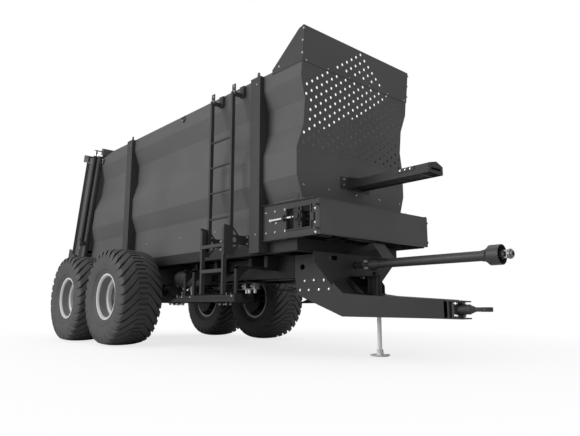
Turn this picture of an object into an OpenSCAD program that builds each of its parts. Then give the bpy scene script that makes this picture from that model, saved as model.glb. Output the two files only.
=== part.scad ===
// Manure spreader at full size, in millimetres.
// X runs forward to the drawbar, Y to the left-hand side, Z up from the ground.
// Lengths along X are first measured from the middle of the bogie, then centred by stand().

/* [Load box] */
// Outer width of the box over its ridges
box_w = 1740; // [1600:10:1840]
// Depth of the folds in the side walls
fold_d = 73; // [40:1:90]
// Thickness of the sheet of the walls and headboard
wall_t = 5; // [3:1:8]
// Height of the lower edge of the walls
wall_foot = 1158; // [1140:1:1180]
// Height of the walls themselves
wall_h = 1810; // [1700:5:1900]
// Lower panel of the headboard, ahead of the bogie's middle
head_x = 3674; // [3640:1:3700]
// Lean of the headboard's upper panel
head_lean = 5.3; // [3:0.1:8]
// Height of the guard above the headboard
guard_h = 350; // [250:5:450]
// Diameter of the holes in the headboard
hole_d = 30; // [16:1:40]

/* [Posts] */
// Width of a post along the wall
post_w = 165; // [120:1:200]
// How far a post's face stands out from the ridges
post_out = 49; // [30:1:70]
// Front edge of the front post
post_front_x = 3153; // [3100:1:3160]
// Front edge of the rear post
post_rear_x = 105; // [0:1:300]

/* [Chassis] */
// Distance between the rails' middle planes
rail_gap = 840; // [760:5:900]
// Width of a rail
rail_w = 100; // [80:1:120]
// Lower face of the rails
rail_low = 800; // [780:1:830]
// Top face of the rails and lower face of the sills
rail_top = 1035; // [1020:1:1050]
// Half width of the drawbar at its front end
bar_half = 100; // [80:1:140]
// Front end of the drawbar
bar_front_x = 4943; // [4850:1:5050]

/* [Wheels] */
// Distance between the axles
axle_gap = 1356; // [1300:1:1450]
// Distance between the middle planes of the left and right tyres
track_w = 2440; // [2400:1:2480]
// Outer diameter of a tyre over its lugs
tyre_d = 1240; // [1200:1:1260]
// Width of a tyre
tyre_w = 560; // [480:1:580]
// Height of the lugs
lug_h = 26; // [14:1:34]
// Number of lugs round a tyre
lug_n = 45; // [24:1:45]
// Diameter over the rim's flange
rim_d = 596; // [590:1:600]
// Radius of the spindle that carries a wheel
spindle_r = 45; // [38:0.5:55]

/* [Beaters] */
// Lean of the rear frame
rear_lean = 15; // [8:0.5:18]
// Radius over the tips of a beater
beater_r = 440; // [400:1:444]
// Distance between the axes of the two beaters
beater_gap = 896; // [890:1:900]
// Distance of the beaters behind the rear frame's face
beater_back = 561; // [540:1:600]
// Radius of a beater's core tube
core_r = 95; // [70:1:120]
// Turns of a beater's flight
flight_turns = 2.5; // [1.5:0.5:3]

/* [Tailgate] */
// Height of the gate along its guides
gate_h = 1560; // [1450:5:1600]
// Travel of the gate
gate_lift = 1100; // [800:10:1150]
// Radius of a lift cylinder's barrel
barrel_r = 35; // [30:1:40]
// Radius of a lift cylinder's rod
rod_r = 20; // [15:1:22]

/* [Ladder] */
// Distance between the ladder's rails
ladder_w = 410; // [350:5:450]
// Middle of the ladder, ahead of the bogie's middle
ladder_x = 2566; // [2400:1:2650]
// Spacing of the ladder's rungs
rung_gap = 300; // [250:5:320]

/* [Shaft and jack] */
// Height of the drive shaft above the ground
pto_z = 923; // [900:1:940]
// Radius of the shaft's guard tube
pto_r = 46; // [38:1:52]
// Side of the jack's outer tube
jack_tube = 90; // [80:1:100]
// How far the jack's foot lifts from the ground
jack_lift = 300; // [200:5:320]

/* [Hidden] */

fit = 0.05;       // running clearance of a shaft in its own bore
clear = 6;        // moving clearance between bodies
x_mid = 1474.79;   // middle of the whole length, ahead of the bogie's middle

wall_top = wall_foot + wall_h;
wall_out = box_w / 2;
wall_in = wall_out - fold_d;
post_y = wall_out + post_out;
post_foot = rail_top + 4;
// Folds of a side wall: height above its foot, share of the fold's depth.
wall_rows = [[0, 1], [402, 1], [622, 0], [902, 0], [1152, 1], [1409, 1], [1632, 0], [wall_h, 0]];
function fold_y(row) = wall_out - row[1] * fold_d;

head_fold_z = wall_foot + 892;                    // fold between the headboard's panels
head_top_x = head_x + (wall_top - head_fold_z) * tan(head_lean);
function head_at(z) = head_x + max(0, z - head_fold_z) * tan(head_lean);

end_x = -1285;                                    // face of the rear frame at end_z
end_z = 2150;
function end_at(z) = end_x + (z - end_z) * tan(rear_lean);
end_post_d = 80;                                  // depth of an end post along the box
end_post_w = 60;
end_post_y = wall_out + 18;                       // inner side of an end post
gate_t = 46;
gate_gap = 8;

sill_w = 80;
sill_y = wall_in;
beam_h = wall_foot - rail_top;
cross_x = 3556;                                   // middle of the front cross member
cross_w = 100;

shaft_x = 3716;                                   // front shaft of the floor chains
shaft_z = 1354;
rear_shaft_x = -1385;
shaft_r = 30;
wheel_pitch_r = 80;                               // chain line round the shafts
chain_t = 26;
chain_w = 24;
chain_ys = [120, wall_in - 157];                            // strands on each side of the middle
slat_h = 34;
slat_gap = 340;
seat = 0.3;                                       // gap where one piece sits on another
floor_z = shaft_z + wheel_pitch_r - chain_t / 2 - seat;

box_rear_x = 3139;                                // rear end of the front box's plates
box_front_x = 3945;
cover_x = 3980;
cover_t = 12;
plate_y = wall_out - 2;
plate_t = 8;
win = [[3540, 1228], [3905, 1466]];               // window for the chain tensioner
cover_z0 = 1160;
cover_z1 = 1494;

rail_y = rail_gap / 2;
rail_end_x = 3216;
bar_rear_half = rail_y + rail_w / 2;
bar_angle = atan((bar_rear_half - bar_half) / (bar_front_x - rail_end_x));
bar_t = 12;
jack_x = 3963;
leg_w = jack_tube - 2 * (5 + clear);
bulk_x = 3516;                                    // bulkhead that carries the front gearbox

axle_z = tyre_d / 2;
wheel_y = track_w / 2;
axle_xs = [axle_gap / 2, -axle_gap / 2];
disc_y = 60;                                      // rim disc, outwards from the tyre's middle
rim_w = 458;
hub_len = 190;

ladder_y = wall_out + 150;                        // outer side of the upper rails
step_y = wall_out + 220;
gusset_t = 8;

module stand() { translate([-x_mid, 0, 0]) children(); }
module both() { children(); mirror([0, 1, 0]) children(); }
module block(a, b) { translate(a) cube([b[0] - a[0], b[1] - a[1], b[2] - a[2]]); }
// A profile in (x, z), extruded across the machine from y0 to y1.
module across(y0, y1) { translate([0, y1, 0]) rotate([90, 0, 0]) linear_extrude(y1 - y0) children(); }
// A profile in (y, z), extruded forward from x0 to x1.
module along(x0, x1) { translate([x0, 0, 0]) rotate([90, 0, 90]) linear_extrude(x1 - x0) children(); }
module rod_x(x0, x1, r) { translate([x0, 0, 0]) rotate([0, 90, 0]) cylinder(h = x1 - x0, r = r, $fn = 48); }
module rod_y(y0, y1, r) { translate([0, y1, 0]) rotate([90, 0, 0]) cylinder(h = y1 - y0, r = r, $fn = 48); }
// The frame of the rear end: its Z runs up the leaning face, its X forward from it.
module lean() { translate([end_x, 0, end_z]) rotate([0, rear_lean, 0]) children(); }

// Load box

module wall_profile() {
    polygon(concat(
        [for (r = wall_rows) [fold_y(r), wall_foot + r[0]]],
        [for (i = [len(wall_rows) - 1:-1:0]) [fold_y(wall_rows[i]) - wall_t, wall_foot + wall_rows[i][0]]]));
}

module side_walls() {
    color("dimgray") stand() both() intersection() {
        along(-2200, 4200) wall_profile();
        across(0, 1000) polygon([
            [end_at(wall_foot), wall_foot], [head_x, wall_foot], [head_x, head_fold_z],
            [head_top_x, wall_top], [-644, wall_top], [end_at(wall_top - 50), wall_top - 50]]);
    }
}

module post_profile(out, extra) {
    polygon(concat(
        [[out, post_foot], [out, wall_top]],
        [for (i = [len(wall_rows) - 1:-1:0]) [fold_y(wall_rows[i]) - extra, wall_foot + wall_rows[i][0]]],
        [[wall_in - extra, post_foot]]));
}

module wall_posts() {
    color("dimgray") stand() both() for (x = [post_front_x, post_rear_x]) difference() {
        along(x - post_w, x) post_profile(post_y, 0);
        intersection() {
            along(x - post_w + wall_t, x - wall_t) post_profile(post_y - wall_t, 2);
            block([x - post_w, 0, 0], [x, 2000, wall_top - wall_t]);
        }
    }
}

module end_posts() {
    h0 = -1010;
    h1 = 850;
    color("dimgray") stand() both() {
        lean() difference() {
            block([-end_post_d, end_post_y, h0], [0, end_post_y + end_post_w, h1]);
            block([-end_post_d + 5, end_post_y + 5, h0 - 1], [-5, end_post_y + end_post_w - 5, h1 - 5]);
        }
        block([-1610, sill_y, 1060], [-1470, end_post_y + end_post_w, wall_foot]);
        // Flange from the wall's folds out to the post.
        intersection() {
            lean() block([-gate_gap, 0, -1100], [-0.1, end_post_y, h1 - 40]);
            along(-2400, 0) polygon(concat(
                [[end_post_y, wall_foot], [end_post_y, wall_top - 60]],
                [for (i = [len(wall_rows) - 1:-1:0])
                    [fold_y(wall_rows[i]) - wall_t, min(wall_top - 60, wall_foot + wall_rows[i][0])]]));
        }
    }
}

module side_sills() {
    color("dimgray") stand() {
        both() difference() {
            block([end_at(rail_top) + 20, sill_y - sill_w, rail_top], [cross_x + cross_w / 2, sill_y, wall_foot]);
            block([end_at(rail_top) - 1, sill_y - sill_w + 6, rail_top + 6],
                [cross_x - cross_w / 2 - 6, sill_y - 6, wall_foot - 6]);
        }
        for (x = [-1400, -840, -280, 280, 840, 1400, 1960, 2520, 3080])
            block([x, -sill_y + sill_w, rail_top], [x + 60, sill_y - sill_w, rail_top + 80]);
        block([cross_x - cross_w / 2, -sill_y + sill_w, rail_top], [cross_x + cross_w / 2, sill_y - sill_w, wall_foot]);
    }
}

module box_floor() {
    y = wall_in - wall_t;
    color("gray") stand() {
        block([rear_shaft_x + 90, -y, floor_z - 6], [shaft_x - 90, y, floor_z]);
        for (x = [-1240, -600, 40, 680, 1340, 2000, 2660, 3320])
            block([x, -y, floor_z - 50], [x + 60, y, floor_z - 6]);
    }
}

// Staggered columns of round holes under a pointed top edge: pitch between columns, pitch in a column.
col_gap = 71;
row_gap = 100;
col_n = 11;
peak_z = 3275;
low_z = 2120;
module hole_field(z0, z1) {
    for (c = [-col_n:col_n]) for (z = [peak_z - abs(c) * row_gap / 2:-row_gap:low_z])
        if (z > z0 && z < z1) translate([c * col_gap, z]) circle(d = hole_d, $fn = 24);
}

module leaning_sheet(x, z0, z1, half) {
    k = 1 / cos(head_lean);
    translate([x, 0, z0]) rotate([0, head_lean, 0]) rotate([90, 0, 90]) linear_extrude(wall_t)
        difference() {
            translate([-half, 0]) square([2 * half, (z1 - z0) * k]);
            scale([1, 1]) for (c = [-col_n:col_n])
                for (z = [peak_z - abs(c) * row_gap / 2:-row_gap:low_z])
                    if (z > z0 + hole_d && z < z1 - hole_d)
                        translate([c * col_gap, (z - z0) * k]) circle(d = hole_d, $fn = 24);
        }
}

module headboard() {
    color("dimgray") stand() {
        block([head_x, -wall_out, 1530 + seat], [head_x + wall_t, wall_out, head_fold_z]);
        block([head_x, -plate_y + plate_t + seat, cover_z1 + 6], [head_x + wall_t, plate_y - plate_t - seat, 1531]);
        leaning_sheet(head_x, head_fold_z, wall_top, wall_out);
    }
}

module front_guard() {
    half = wall_out + wall_t + seat;
    foot_x = head_at(wall_top - 6) + wall_t / cos(head_lean) + seat;
    top_x = foot_x + guard_h * tan(head_lean);
    color("dimgray") stand() {
        leaning_sheet(foot_x, wall_top - 6, wall_top + guard_h, half);
        both() across(half - wall_t, half) polygon([
            [foot_x, wall_top - 6], [top_x, wall_top + guard_h], [top_x - 70, wall_top + guard_h - 12],
            [foot_x - 460, wall_top + 22], [foot_x - 460, wall_top - 30], [foot_x - 40, wall_top - 30]]);
    }
}

module front_box() {
    color("dimgray") stand() {
        both() {
            across(plate_y - plate_t, plate_y) difference() {
                polygon([[box_rear_x + 20, 1150], [box_front_x, 1150], [box_front_x, 1500],
                    [3800, 1500], [3790, 1530], [box_rear_x + 20, 1530]]);
                translate(win[0]) square(win[1] - win[0]);
            }
            block([box_rear_x + 20, wall_in, 1150], [3500, plate_y - plate_t, 1158]);
            block([box_front_x - 8, plate_y - 90, 1170], [box_front_x, plate_y - plate_t, 1480]);
        }
        block([head_x + wall_t, -plate_y + plate_t, cover_z1], [box_front_x, plate_y - plate_t, cover_z1 + 6]);
    }
}

module front_cover() {
    color("dimgray") stand() {
        block([cover_x, -plate_y, cover_z0], [cover_x + cover_t, plate_y, cover_z1]);
        for (z = [cover_z0, cover_z1 - 8])
            block([box_front_x, -plate_y, z], [cover_x, plate_y, z + 8]);
        both() {
            block([box_front_x, plate_y - 6, cover_z0 + 8], [cover_x, plate_y, cover_z1 - 8]);
            for (z = [cover_z0 + 50, cover_z1 - 60]) translate([cover_x - 18, 0, z]) rod_y(plate_y - 5, plate_y + 42, 8);
        }
    }
}

// Floor conveyor

module loop_ring(r_out, r_in) {
    difference() {
        union() {
            translate([rear_shaft_x, shaft_z]) circle(r = r_out, $fn = 48);
            translate([shaft_x, shaft_z]) circle(r = r_out, $fn = 48);
            translate([rear_shaft_x, shaft_z - r_out]) square([shaft_x - rear_shaft_x, 2 * r_out]);
        }
        translate([rear_shaft_x, shaft_z]) circle(r = r_in, $fn = 48);
        translate([shaft_x, shaft_z]) circle(r = r_in, $fn = 48);
        translate([rear_shaft_x, shaft_z - r_in]) square([shaft_x - rear_shaft_x, 2 * r_in]);
    }
}

module floor_chains() {
    r = wheel_pitch_r;
    color("silver") stand() {
        for (s = [-1, 1]) for (y = chain_ys) across(s * y - chain_w / 2, s * y + chain_w / 2)
            loop_ring(r + chain_t / 2, r - chain_t / 2);
        for (s = [-1, 1]) for (x = [rear_shaft_x + 20:slat_gap:shaft_x - 60]) {
            y0 = s > 0 ? chain_ys[0] + chain_w / 2 : -chain_ys[1] + chain_w / 2;
            y1 = s > 0 ? chain_ys[1] - chain_w / 2 : -chain_ys[0] - chain_w / 2;
            block([x, y0, shaft_z + r - 12], [x + 50, y1, shaft_z + r + slat_h]);
            block([x, y0, shaft_z - r - slat_h], [x + 50, y1, shaft_z - r + 12]);
        }
    }
}

module chain_shafts() {
    color("gray") stand() {
        translate([shaft_x, 0, shaft_z]) {
            rod_y(-wall_in - 60, wall_in + 60, shaft_r);
            both() for (y = chain_ys) rod_y(y - 20, y + 20, wheel_pitch_r - chain_t / 2 - 0.3);
        }
        translate([rear_shaft_x, 0, shaft_z]) {
            rod_y(-wall_in + wall_t + seat, wall_in - wall_t - seat, shaft_r);
            both() for (y = chain_ys) rod_y(y - 20, y + 20, wheel_pitch_r - chain_t / 2 - 0.3);
        }
    }
}

module chain_tensioners() {
    y = plate_y;
    color("gray") stand() both() {
        difference() {
            union() {
                translate([shaft_x, 0, shaft_z]) rod_y(wall_in + 20, y + 26, 52);
                block([shaft_x - 70, y - plate_t, win[0][1] + seat], [shaft_x + 70, y, win[1][1] - seat]);
            }
            translate([shaft_x, 0, shaft_z]) rod_y(wall_in - 1, wall_in + 61, shaft_r + fit);
        }
        translate([0, y + 9 + seat, shaft_z]) rod_x(3290, shaft_x - 50, 9);
        block([3505, y, shaft_z - 30], [3525, y + 24, shaft_z + 30]);
    }
}

// Chassis and drawbar

module chassis_rails() {
    color("dimgray") stand() {
        both() block([-1500, rail_y - rail_w / 2, rail_low], [rail_end_x - 2.7, rail_y + rail_w / 2, rail_top]);
        for (x = [-1500, -460, 380, 1500, 2500])
            block([x, -rail_y + rail_w / 2, rail_low], [x + 80, rail_y - rail_w / 2, rail_low + 70]);
    }
}

module bar_side() {
    polygon([[0, rail_top], [0, rail_low], [30, 612], [575, 390], [1766, 380], [1766, 542], [780, 600],
        [540, 640], [440, 804], [310, 940], [310, rail_top]]);
}
module bar_plan(out) {
    w0 = bar_rear_half - out;
    w1 = bar_half - out;
    polygon([[rail_end_x, -w0], [bar_front_x, -w1], [bar_front_x, w1], [rail_end_x, w0]]);
}
module strip(points, t, up) {
    polygon(concat(points, [for (i = [len(points) - 1:-1:0]) points[i] + [0, up * t]]));
}

module neck_plates() {
    color("dimgray") stand() {
        both() translate([rail_end_x, bar_rear_half, 0]) rotate([0, 0, -bar_angle])
            across(-bar_t, 0) bar_side();
        intersection() {
            translate([0, 0, 300]) linear_extrude(800) bar_plan(bar_t + 0.5);
            difference() {
                union() {
                    across(-700, 700)
                        strip([[rail_end_x + 60, 605], [rail_end_x + 564, 397], [bar_front_x, 388]], 12, 1);
                    across(-700, 700)
                        strip([[rail_end_x + 560, 630], [rail_end_x + 780, 594], [bar_front_x, 536]], 12, -1);
                    block([bar_front_x - 20, -300, 380], [bar_front_x, 300, 540]);
                    block([bulk_x, -500, 800], [bulk_x + 12, 500, rail_top]);
                }
                block([jack_x - jack_tube / 2 - seat, -jack_tube / 2 - seat, 300],
                    [jack_x + jack_tube / 2 + seat, jack_tube / 2 + seat, 700]);
                translate([0, 0, pto_z]) rod_x(bulk_x - 5, bulk_x + 20, 36);
            }
        }
    }
}

module tow_eye() {
    z = 462;
    color("silver") stand() {
        block([bar_front_x, -85, 385], [bar_front_x + 28, 85, 539]);
        translate([0, 0, z]) rod_x(bar_front_x + 28, bar_front_x + 120, 42);
        difference() {
            union() {
                translate([bar_front_x + 190, 0, z - 20]) cylinder(h = 40, r = 50, $fn = 64);
                block([bar_front_x + 118, -26, z - 20], [bar_front_x + 160, 26, z + 20]);
            }
            translate([bar_front_x + 190, 0, z - 21]) cylinder(h = 42, r = 25.5, $fn = 64);
        }
    }
}

module jack_housing() {
    w = jack_tube / 2;
    color("dimgray") stand() difference() {
        union() {
            block([jack_x - w, -w, 384], [jack_x + w, w, 800]);
            block([jack_x - 370, -110, 612], [jack_x - 360, 110, 800]);
            block([jack_x - 370, -110, 800], [jack_x + w, 110, 810]);
        }
        block([jack_x - w + 5, -w + 5, 400], [jack_x + w - 5, w - 5, 796]);
        block([jack_x - leg_w / 2 - seat, -leg_w / 2 - seat, 383], [jack_x + leg_w / 2 + seat, leg_w / 2 + seat, 401]);
    }
}

module jack_leg() {
    w = leg_w / 2;
    color("silver") stand() {
        block([jack_x - w, -w, 30], [jack_x + w, w, 460]);
        translate([jack_x, 0, 0]) cylinder(h = 12, r = 110, $fn = 64);
        both() block([jack_x - 30, w, 12], [jack_x + 30, w + 8, 70]);
    }
}

// Drive shaft

module pto_guard() {
    color("dimgray") stand() translate([0, 0, pto_z]) {
        rod_x(4010, 5160, pto_r);
        translate([3850, 0, 0]) rotate([0, 90, 0]) difference() {
            cylinder(h = 160, r1 = 80, r2 = 60, $fn = 64);
            translate([0, 0, -1]) cylinder(h = 120, r1 = 76, r2 = 58, $fn = 64);
        }
        translate([5160, 0, 0]) rotate([0, 90, 0]) difference() {
            union() {
                cylinder(h = 30, r1 = 60, r2 = 86, $fn = 64);
                translate([0, 0, 30]) cylinder(h = 110, r = 86, $fn = 64);
            }
            translate([0, 0, 30]) cylinder(h = 111, r = 81, $fn = 64);
        }
    }
}

module yoke() {
    rod_x(0, 60, 32);
    both() block([60, 22, -24], [110, 34, 24]);
    block([56, -34, -24], [62, 34, 24]);
}

module pto_joints() {
    color("silver") stand() translate([0, 0, pto_z]) {
        translate([3620, 0, 0]) { yoke(); translate([95, 0, 0]) { rod_y(-36, 36, 12); translate([0, 0, -34]) cylinder(h = 68, r = 12, $fn = 32); } }
        translate([3810, 0, 0]) rotate([90, 0, 180]) yoke();
        rod_x(3810, 3970 - 1 - seat, 24);
        rod_x(5190 + seat, 5206, 32);
        translate([5205, 0, 0]) { yoke(); translate([95, 0, 0]) { rod_y(-36, 36, 12); translate([0, 0, -34]) cylinder(h = 68, r = 12, $fn = 32); } }
        difference() {
            translate([5395, 0, 0]) rotate([90, 0, 180]) yoke();
            rod_x(5335, 5396, 17.5);
        }
    }
}

module front_gearbox() {
    color("dimgray") stand() {
        block([3290, -150, pto_z - 110], [bulk_x - seat, 150, pto_z + 100]);
        translate([0, 0, pto_z]) rod_x(bulk_x - seat, 3620, 34);
    }
}

module driveline() {
    color("gray") stand() translate([0, 0, pto_z]) rod_x(-1900, 3290, 38);
}

// Running gear

module axle_beams() {
    color("dimgray") stand() for (x = axle_xs) {
        block([x - 65, -wheel_y + 210, axle_z - 65], [x + 65, wheel_y - 210, axle_z + 65]);
        both() translate([x, 0, axle_z]) rod_y(wheel_y - 210, wheel_y + disc_y + 60, spindle_r);
    }
}

module leaf_springs() {
    color("dimgray") stand() both() {
        across(rail_y - 40, rail_y + 40) polygon([
            [-740, axle_z + 65 + seat], [-620, axle_z + 65 + seat], [-120, 744], [120, 744], [620, axle_z + 65 + seat], [740, axle_z + 65 + seat],
            [740, axle_z + 86], [610, axle_z + 96], [120, 790], [-120, 790], [-610, axle_z + 96], [-740, axle_z + 86]]);
        block([-90, rail_y - 50, 790], [90, rail_y + 50, rail_low]);
    }
}

module wheel_place(i, s) {
    stand() translate([axle_xs[i], s * wheel_y, axle_z]) mirror([0, s < 0 ? 1 : 0, 0]) children();
}

// Tyre section: radius, distance from the middle plane, share of the lug's height.
bead_r = rim_d / 2 - 10;
seat_r = bead_r - 0.6;
bead_y = (rim_w / 2 - 6.8) / tyre_w;
tread_r = tyre_d / 2;
tyre_rows = [
    [bead_r, -bead_y, 0], [tread_r * 0.74, -0.5, 0], [tread_r * 0.955, -0.455, 0.75], [tread_r, -0.16, 1],
    [tread_r, 0.16, 1], [tread_r * 0.955, 0.455, 0.75], [tread_r * 0.74, 0.5, 0], [bead_r, bead_y, 0]];
lug_phase = 1.5 * lug_n - 2 * floor(0.75 * lug_n) - 4.4 * 0.16;
function tyre_point(i, row) =
    let (a = 180 / lug_n * (i + 4.4 * abs(row[1]) + lug_phase), r = row[0] - (i % 2 == 0 ? 0 : row[2] * lug_h))
    [r * cos(a), row[1] * tyre_w, r * sin(a)];

module tyre() {
    m = len(tyre_rows);
    n = 2 * lug_n;
    polyhedron(
        points = [for (i = [0:n - 1]) for (row = tyre_rows) tyre_point(i, row)],
        faces = [for (i = [0:n - 1]) for (j = [0:m - 1]) for (k = [0, 1])
            let (a = i * m + j, b = i * m + (j + 1) % m,
                c = ((i + 1) % n) * m + (j + 1) % m, d = ((i + 1) % n) * m + j)
            k == 0 ? [a, c, b] : [a, d, c]]);
}

module rim() {
    ro = rim_d / 2;
    h = rim_w / 2;
    rotate([-90, 0, 0]) difference() {
        rotate_extrude($fn = 96) {
            polygon([[ro - 26, -h], [ro, -h], [ro, -h + 3], [seat_r, -h + 6], [seat_r, h - 6], [ro, h - 3], [ro, h],
                [ro - 26, h], [ro - 26, disc_y + 8], [150, disc_y + 30], [150, disc_y + 70], [95, disc_y + 70],
                [95, disc_y + 110], [0, disc_y + 110], [0, disc_y + 80], [spindle_r + fit, disc_y + 80],
                [spindle_r + fit, disc_y - 70], [200, disc_y - 70], [200, disc_y - 40],
                [120, disc_y - 40], [120, disc_y + 16], [ro - 26, disc_y - 6]]);
        }
        for (a = [0:36:324]) rotate([0, 0, a]) translate([205, 0, disc_y - 30]) cylinder(h = 60, r = 17, $fn = 32);
    }
}

// Side equipment

module hose_arm() {
    x0 = head_x + wall_t;
    x1 = 4690;
    color("dimgray") stand() {
        difference() {
            block([x0 + 8, -120, 1738], [x1, 120, 1828]);
            block([x0 + 12, -114, 1737], [x1 - 6, 114, 1822]);
            block([x1 - 10, -80, 1765], [x1 + 1, 80, 1790]);
        }
        for (x = [4310, 4560]) block([x, -114, 1738], [x + 40, 114, 1746]);
        block([x0, -150, 1720], [x0 + 8, 150, 1870]);
    }
}

module ladder() {
    x0 = ladder_x - ladder_w / 2;
    x1 = ladder_x + ladder_w / 2;
    color("dimgray") stand() mirror([0, 1, 0]) {
        for (x = [x0, x1]) {
            block([x - 15, ladder_y - 40, 1150], [x + 15, ladder_y, 2880]);
            block([x - 15, wall_out, 2840], [x + 15, ladder_y - 40, 2880]);
            block([x - 15, step_y - 30, 620], [x + 15, step_y + 15, 1330]);
        }
        for (i = [0:3]) translate([0, ladder_y - 20, 1460 + i * rung_gap]) rod_x(x0 + 15, x1 - 15, 13);
        for (z = [870, 1140]) block([x0 + 15, step_y - 30, z - 18], [x1 - 15, step_y + 15, z + 18]);
    }
}

module ladder_brackets() {
    color("dimgray") stand() mirror([0, 1, 0]) for (x = [ladder_x - ladder_w / 2 - 15 - gusset_t, ladder_x + ladder_w / 2 + 15])
        along(x, x + gusset_t) difference() {
            polygon([[wall_in, 1390], [step_y + 15, 1390], [step_y + 15, 1070], [step_y - 40, 1070], [wall_in, 1320]]);
            translate([ladder_y - 90, 1320]) circle(r = 40, $fn = 32);
        }
}

module side_guards() {
    y = wall_out + 205;
    color("dimgray") stand() both() {
        across(y, y + 40) polygon([[1750, 520], [3190, 520], [3190, 620], [1880, 620]]);
        for (x = [1940, 2100, 3040, 3150]) {
            block([x, y - 30, 520], [x + 30, y, 880]);
            block([x, bar_rear_half, 880], [x + 30, y, 920]);
        }
    }
}

module air_tank() {
    color("dimgray") stand() mirror([0, 1, 0]) translate([0, 650, 850]) {
        rod_x(1180, 1760, 100);
        for (x = [1280, 1640]) block([x, bar_rear_half - 650, 60], [x + 30, 0, 90]);
    }
}

// Rear end, in the leaning frame

module side_plates() {
    y = end_post_y + 5;
    color("dimgray") stand() both() lean() {
        block([-250, y, -900], [-end_post_d, y + 8, 830]);
        block([-beater_back - 60, y - 60, -990], [-end_post_d, y, -930]);
        block([-beater_back - 60, y - 60, 790], [-end_post_d, y, 850]);
    }
}

module beater_beams() {
    y = end_post_y + 5 - 60;
    color("dimgray") stand() {
        lean() {
            block([-beater_back - 110, -y, -1010], [-beater_back + 110, y, -900]);
            block([-beater_back - 60, -y, 800], [-beater_back + 60, y, 880]);
            both() for (z = [-900, 780])
                translate([-beater_back, beater_gap / 2, z]) cylinder(h = 20, r = 40, $fn = 48);
        }
        block([-2100, -120, 850], [-1900, 120, 1330]);
    }
}

// Helical flight as one skin: inner edge, outer edge, both faces.
module flight(r0, r1, z0, z1, turns, t) {
    n = ceil(turns * 20);
    function ring(i) = let (a = 360 * turns * i / n, z = z0 + (z1 - z0) * i / n)
        [for (p = [[r0, 0], [r1, 0], [r1, t], [r0, t]]) [p[0] * cos(a), p[0] * sin(a), z + p[1]]];
    polyhedron(
        points = [for (i = [0:n]) each ring(i)],
        faces = concat([[3, 2, 1, 0]], [[n * 4, n * 4 + 1, n * 4 + 2, n * 4 + 3]],
            [for (i = [0:n - 1]) for (j = [0:3]) let (a = i * 4 + j, b = i * 4 + (j + 1) % 4) [a, b, b + 4, a + 4]]));
}

module beater() {
    z0 = -880 + seat;
    z1 = 780 - seat;
    union() {
        translate([0, 0, z0]) cylinder(h = z1 - z0, r = core_r, $fn = 64);
        translate([0, 0, z0 + 10]) cylinder(h = 12, r = beater_r - 60, $fn = 96);
        for (a = [0:60:300]) rotate([0, 0, a]) block([core_r - 5, -6, z0 + 20], [beater_r - 30, 6, z0 + 90]);
        for (i = [0:17]) rotate([0, 0, i * 50])
            block([core_r - 5, -5, z0 + 150 + i * 82], [beater_r, 5, z0 + 200 + i * 82]);
    }
}

module tailgate() {
    x0 = -gate_gap - seat;
    y = wall_out + 8;
    z0 = -755;
    color("dimgray") stand() lean() {
        block([x0 - 6, -y, z0], [x0, y, z0 + gate_h]);
        for (z = [0, 0.25, 0.5, 0.75, 1])
            block([x0 - gate_t, -y, z0 + z * (gate_h - 50)], [x0 - 6, y, z0 + 50 + z * (gate_h - 50)]);
        both() block([-105, y - 20, 870], [x0, end_post_y + end_post_w + 90, 920]);
    }
}

module cylinder_place() { lean() translate([-72, end_post_y + end_post_w + 50, 0]) children(); }

module gate_barrels() {
    color("gray") stand() both() cylinder_place() {
        difference() {
            translate([0, 0, -620]) cylinder(h = 1400, r = barrel_r, $fn = 48);
            translate([0, 0, -600]) cylinder(h = 1360, r = rod_r + clear, $fn = 48);
            translate([0, 0, 700]) cylinder(h = 100, r = rod_r + seat, $fn = 48);
        }
        block([-25, -50, -660], [25, 20, -620]);
    }
}

module gate_rods() {
    color("silver") stand() both() cylinder_place() translate([0, 0, -580]) cylinder(h = 1450, r = rod_r, $fn = 48);
}

module rear_lamps() {
    color("red") stand() {
        x = -1780;
        block([x, -1150, 700], [x + 60, 1150, 760]);
        both() {
            block([x - 30, 850, 700], [x, 1150, 800]);
            block([x + 60, rail_y - 40, 700], [-1380, rail_y + 40, rail_low]);
        }
    }
}

side_walls();
wall_posts();
end_posts();
side_sills();
box_floor();
headboard();
front_guard();
floor_chains();
chain_shafts();
front_box();
front_cover();
chain_tensioners();
chassis_rails();
neck_plates();
tow_eye();
jack_housing();
jack_leg();
pto_guard();
pto_joints();
front_gearbox();
driveline();
axle_beams();
leaf_springs();
hose_arm();
ladder();
ladder_brackets();
side_guards();
side_plates();
beater_beams();
gate_barrels();
rear_lamps();
air_tank();
color("black") wheel_place(0, -1) tyre();  // tyre_front_right
color("black") wheel_place(0, 1) tyre();  // tyre_front_left
color("black") wheel_place(1, -1) tyre();  // tyre_rear_right
color("black") wheel_place(1, 1) tyre();  // tyre_rear_left
color("silver") wheel_place(0, -1) rim();  // rim_front_right
color("silver") wheel_place(0, 1) rim();  // rim_front_left
color("silver") wheel_place(1, -1) rim();  // rim_rear_right
color("silver") wheel_place(1, 1) rim();  // rim_rear_left
color("silver") stand() lean() translate([-beater_back, -beater_gap / 2, 0]) beater();  // beater_right
color("silver") stand() lean() translate([-beater_back, beater_gap / 2, 0]) mirror([0, 1, 0]) beater();  // beater_left
tailgate();
gate_rods();
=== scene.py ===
"""Finishes, fine pieces, light and camera of a towed manure spreader, round its fixed frame."""
import logging
import math
from dataclasses import dataclass, field
from enum import Enum
from typing import Callable, Sequence

import bmesh
import bpy
from mathutils import Matrix, Vector
from mathutils.geometry import tessellate_polygon


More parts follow.
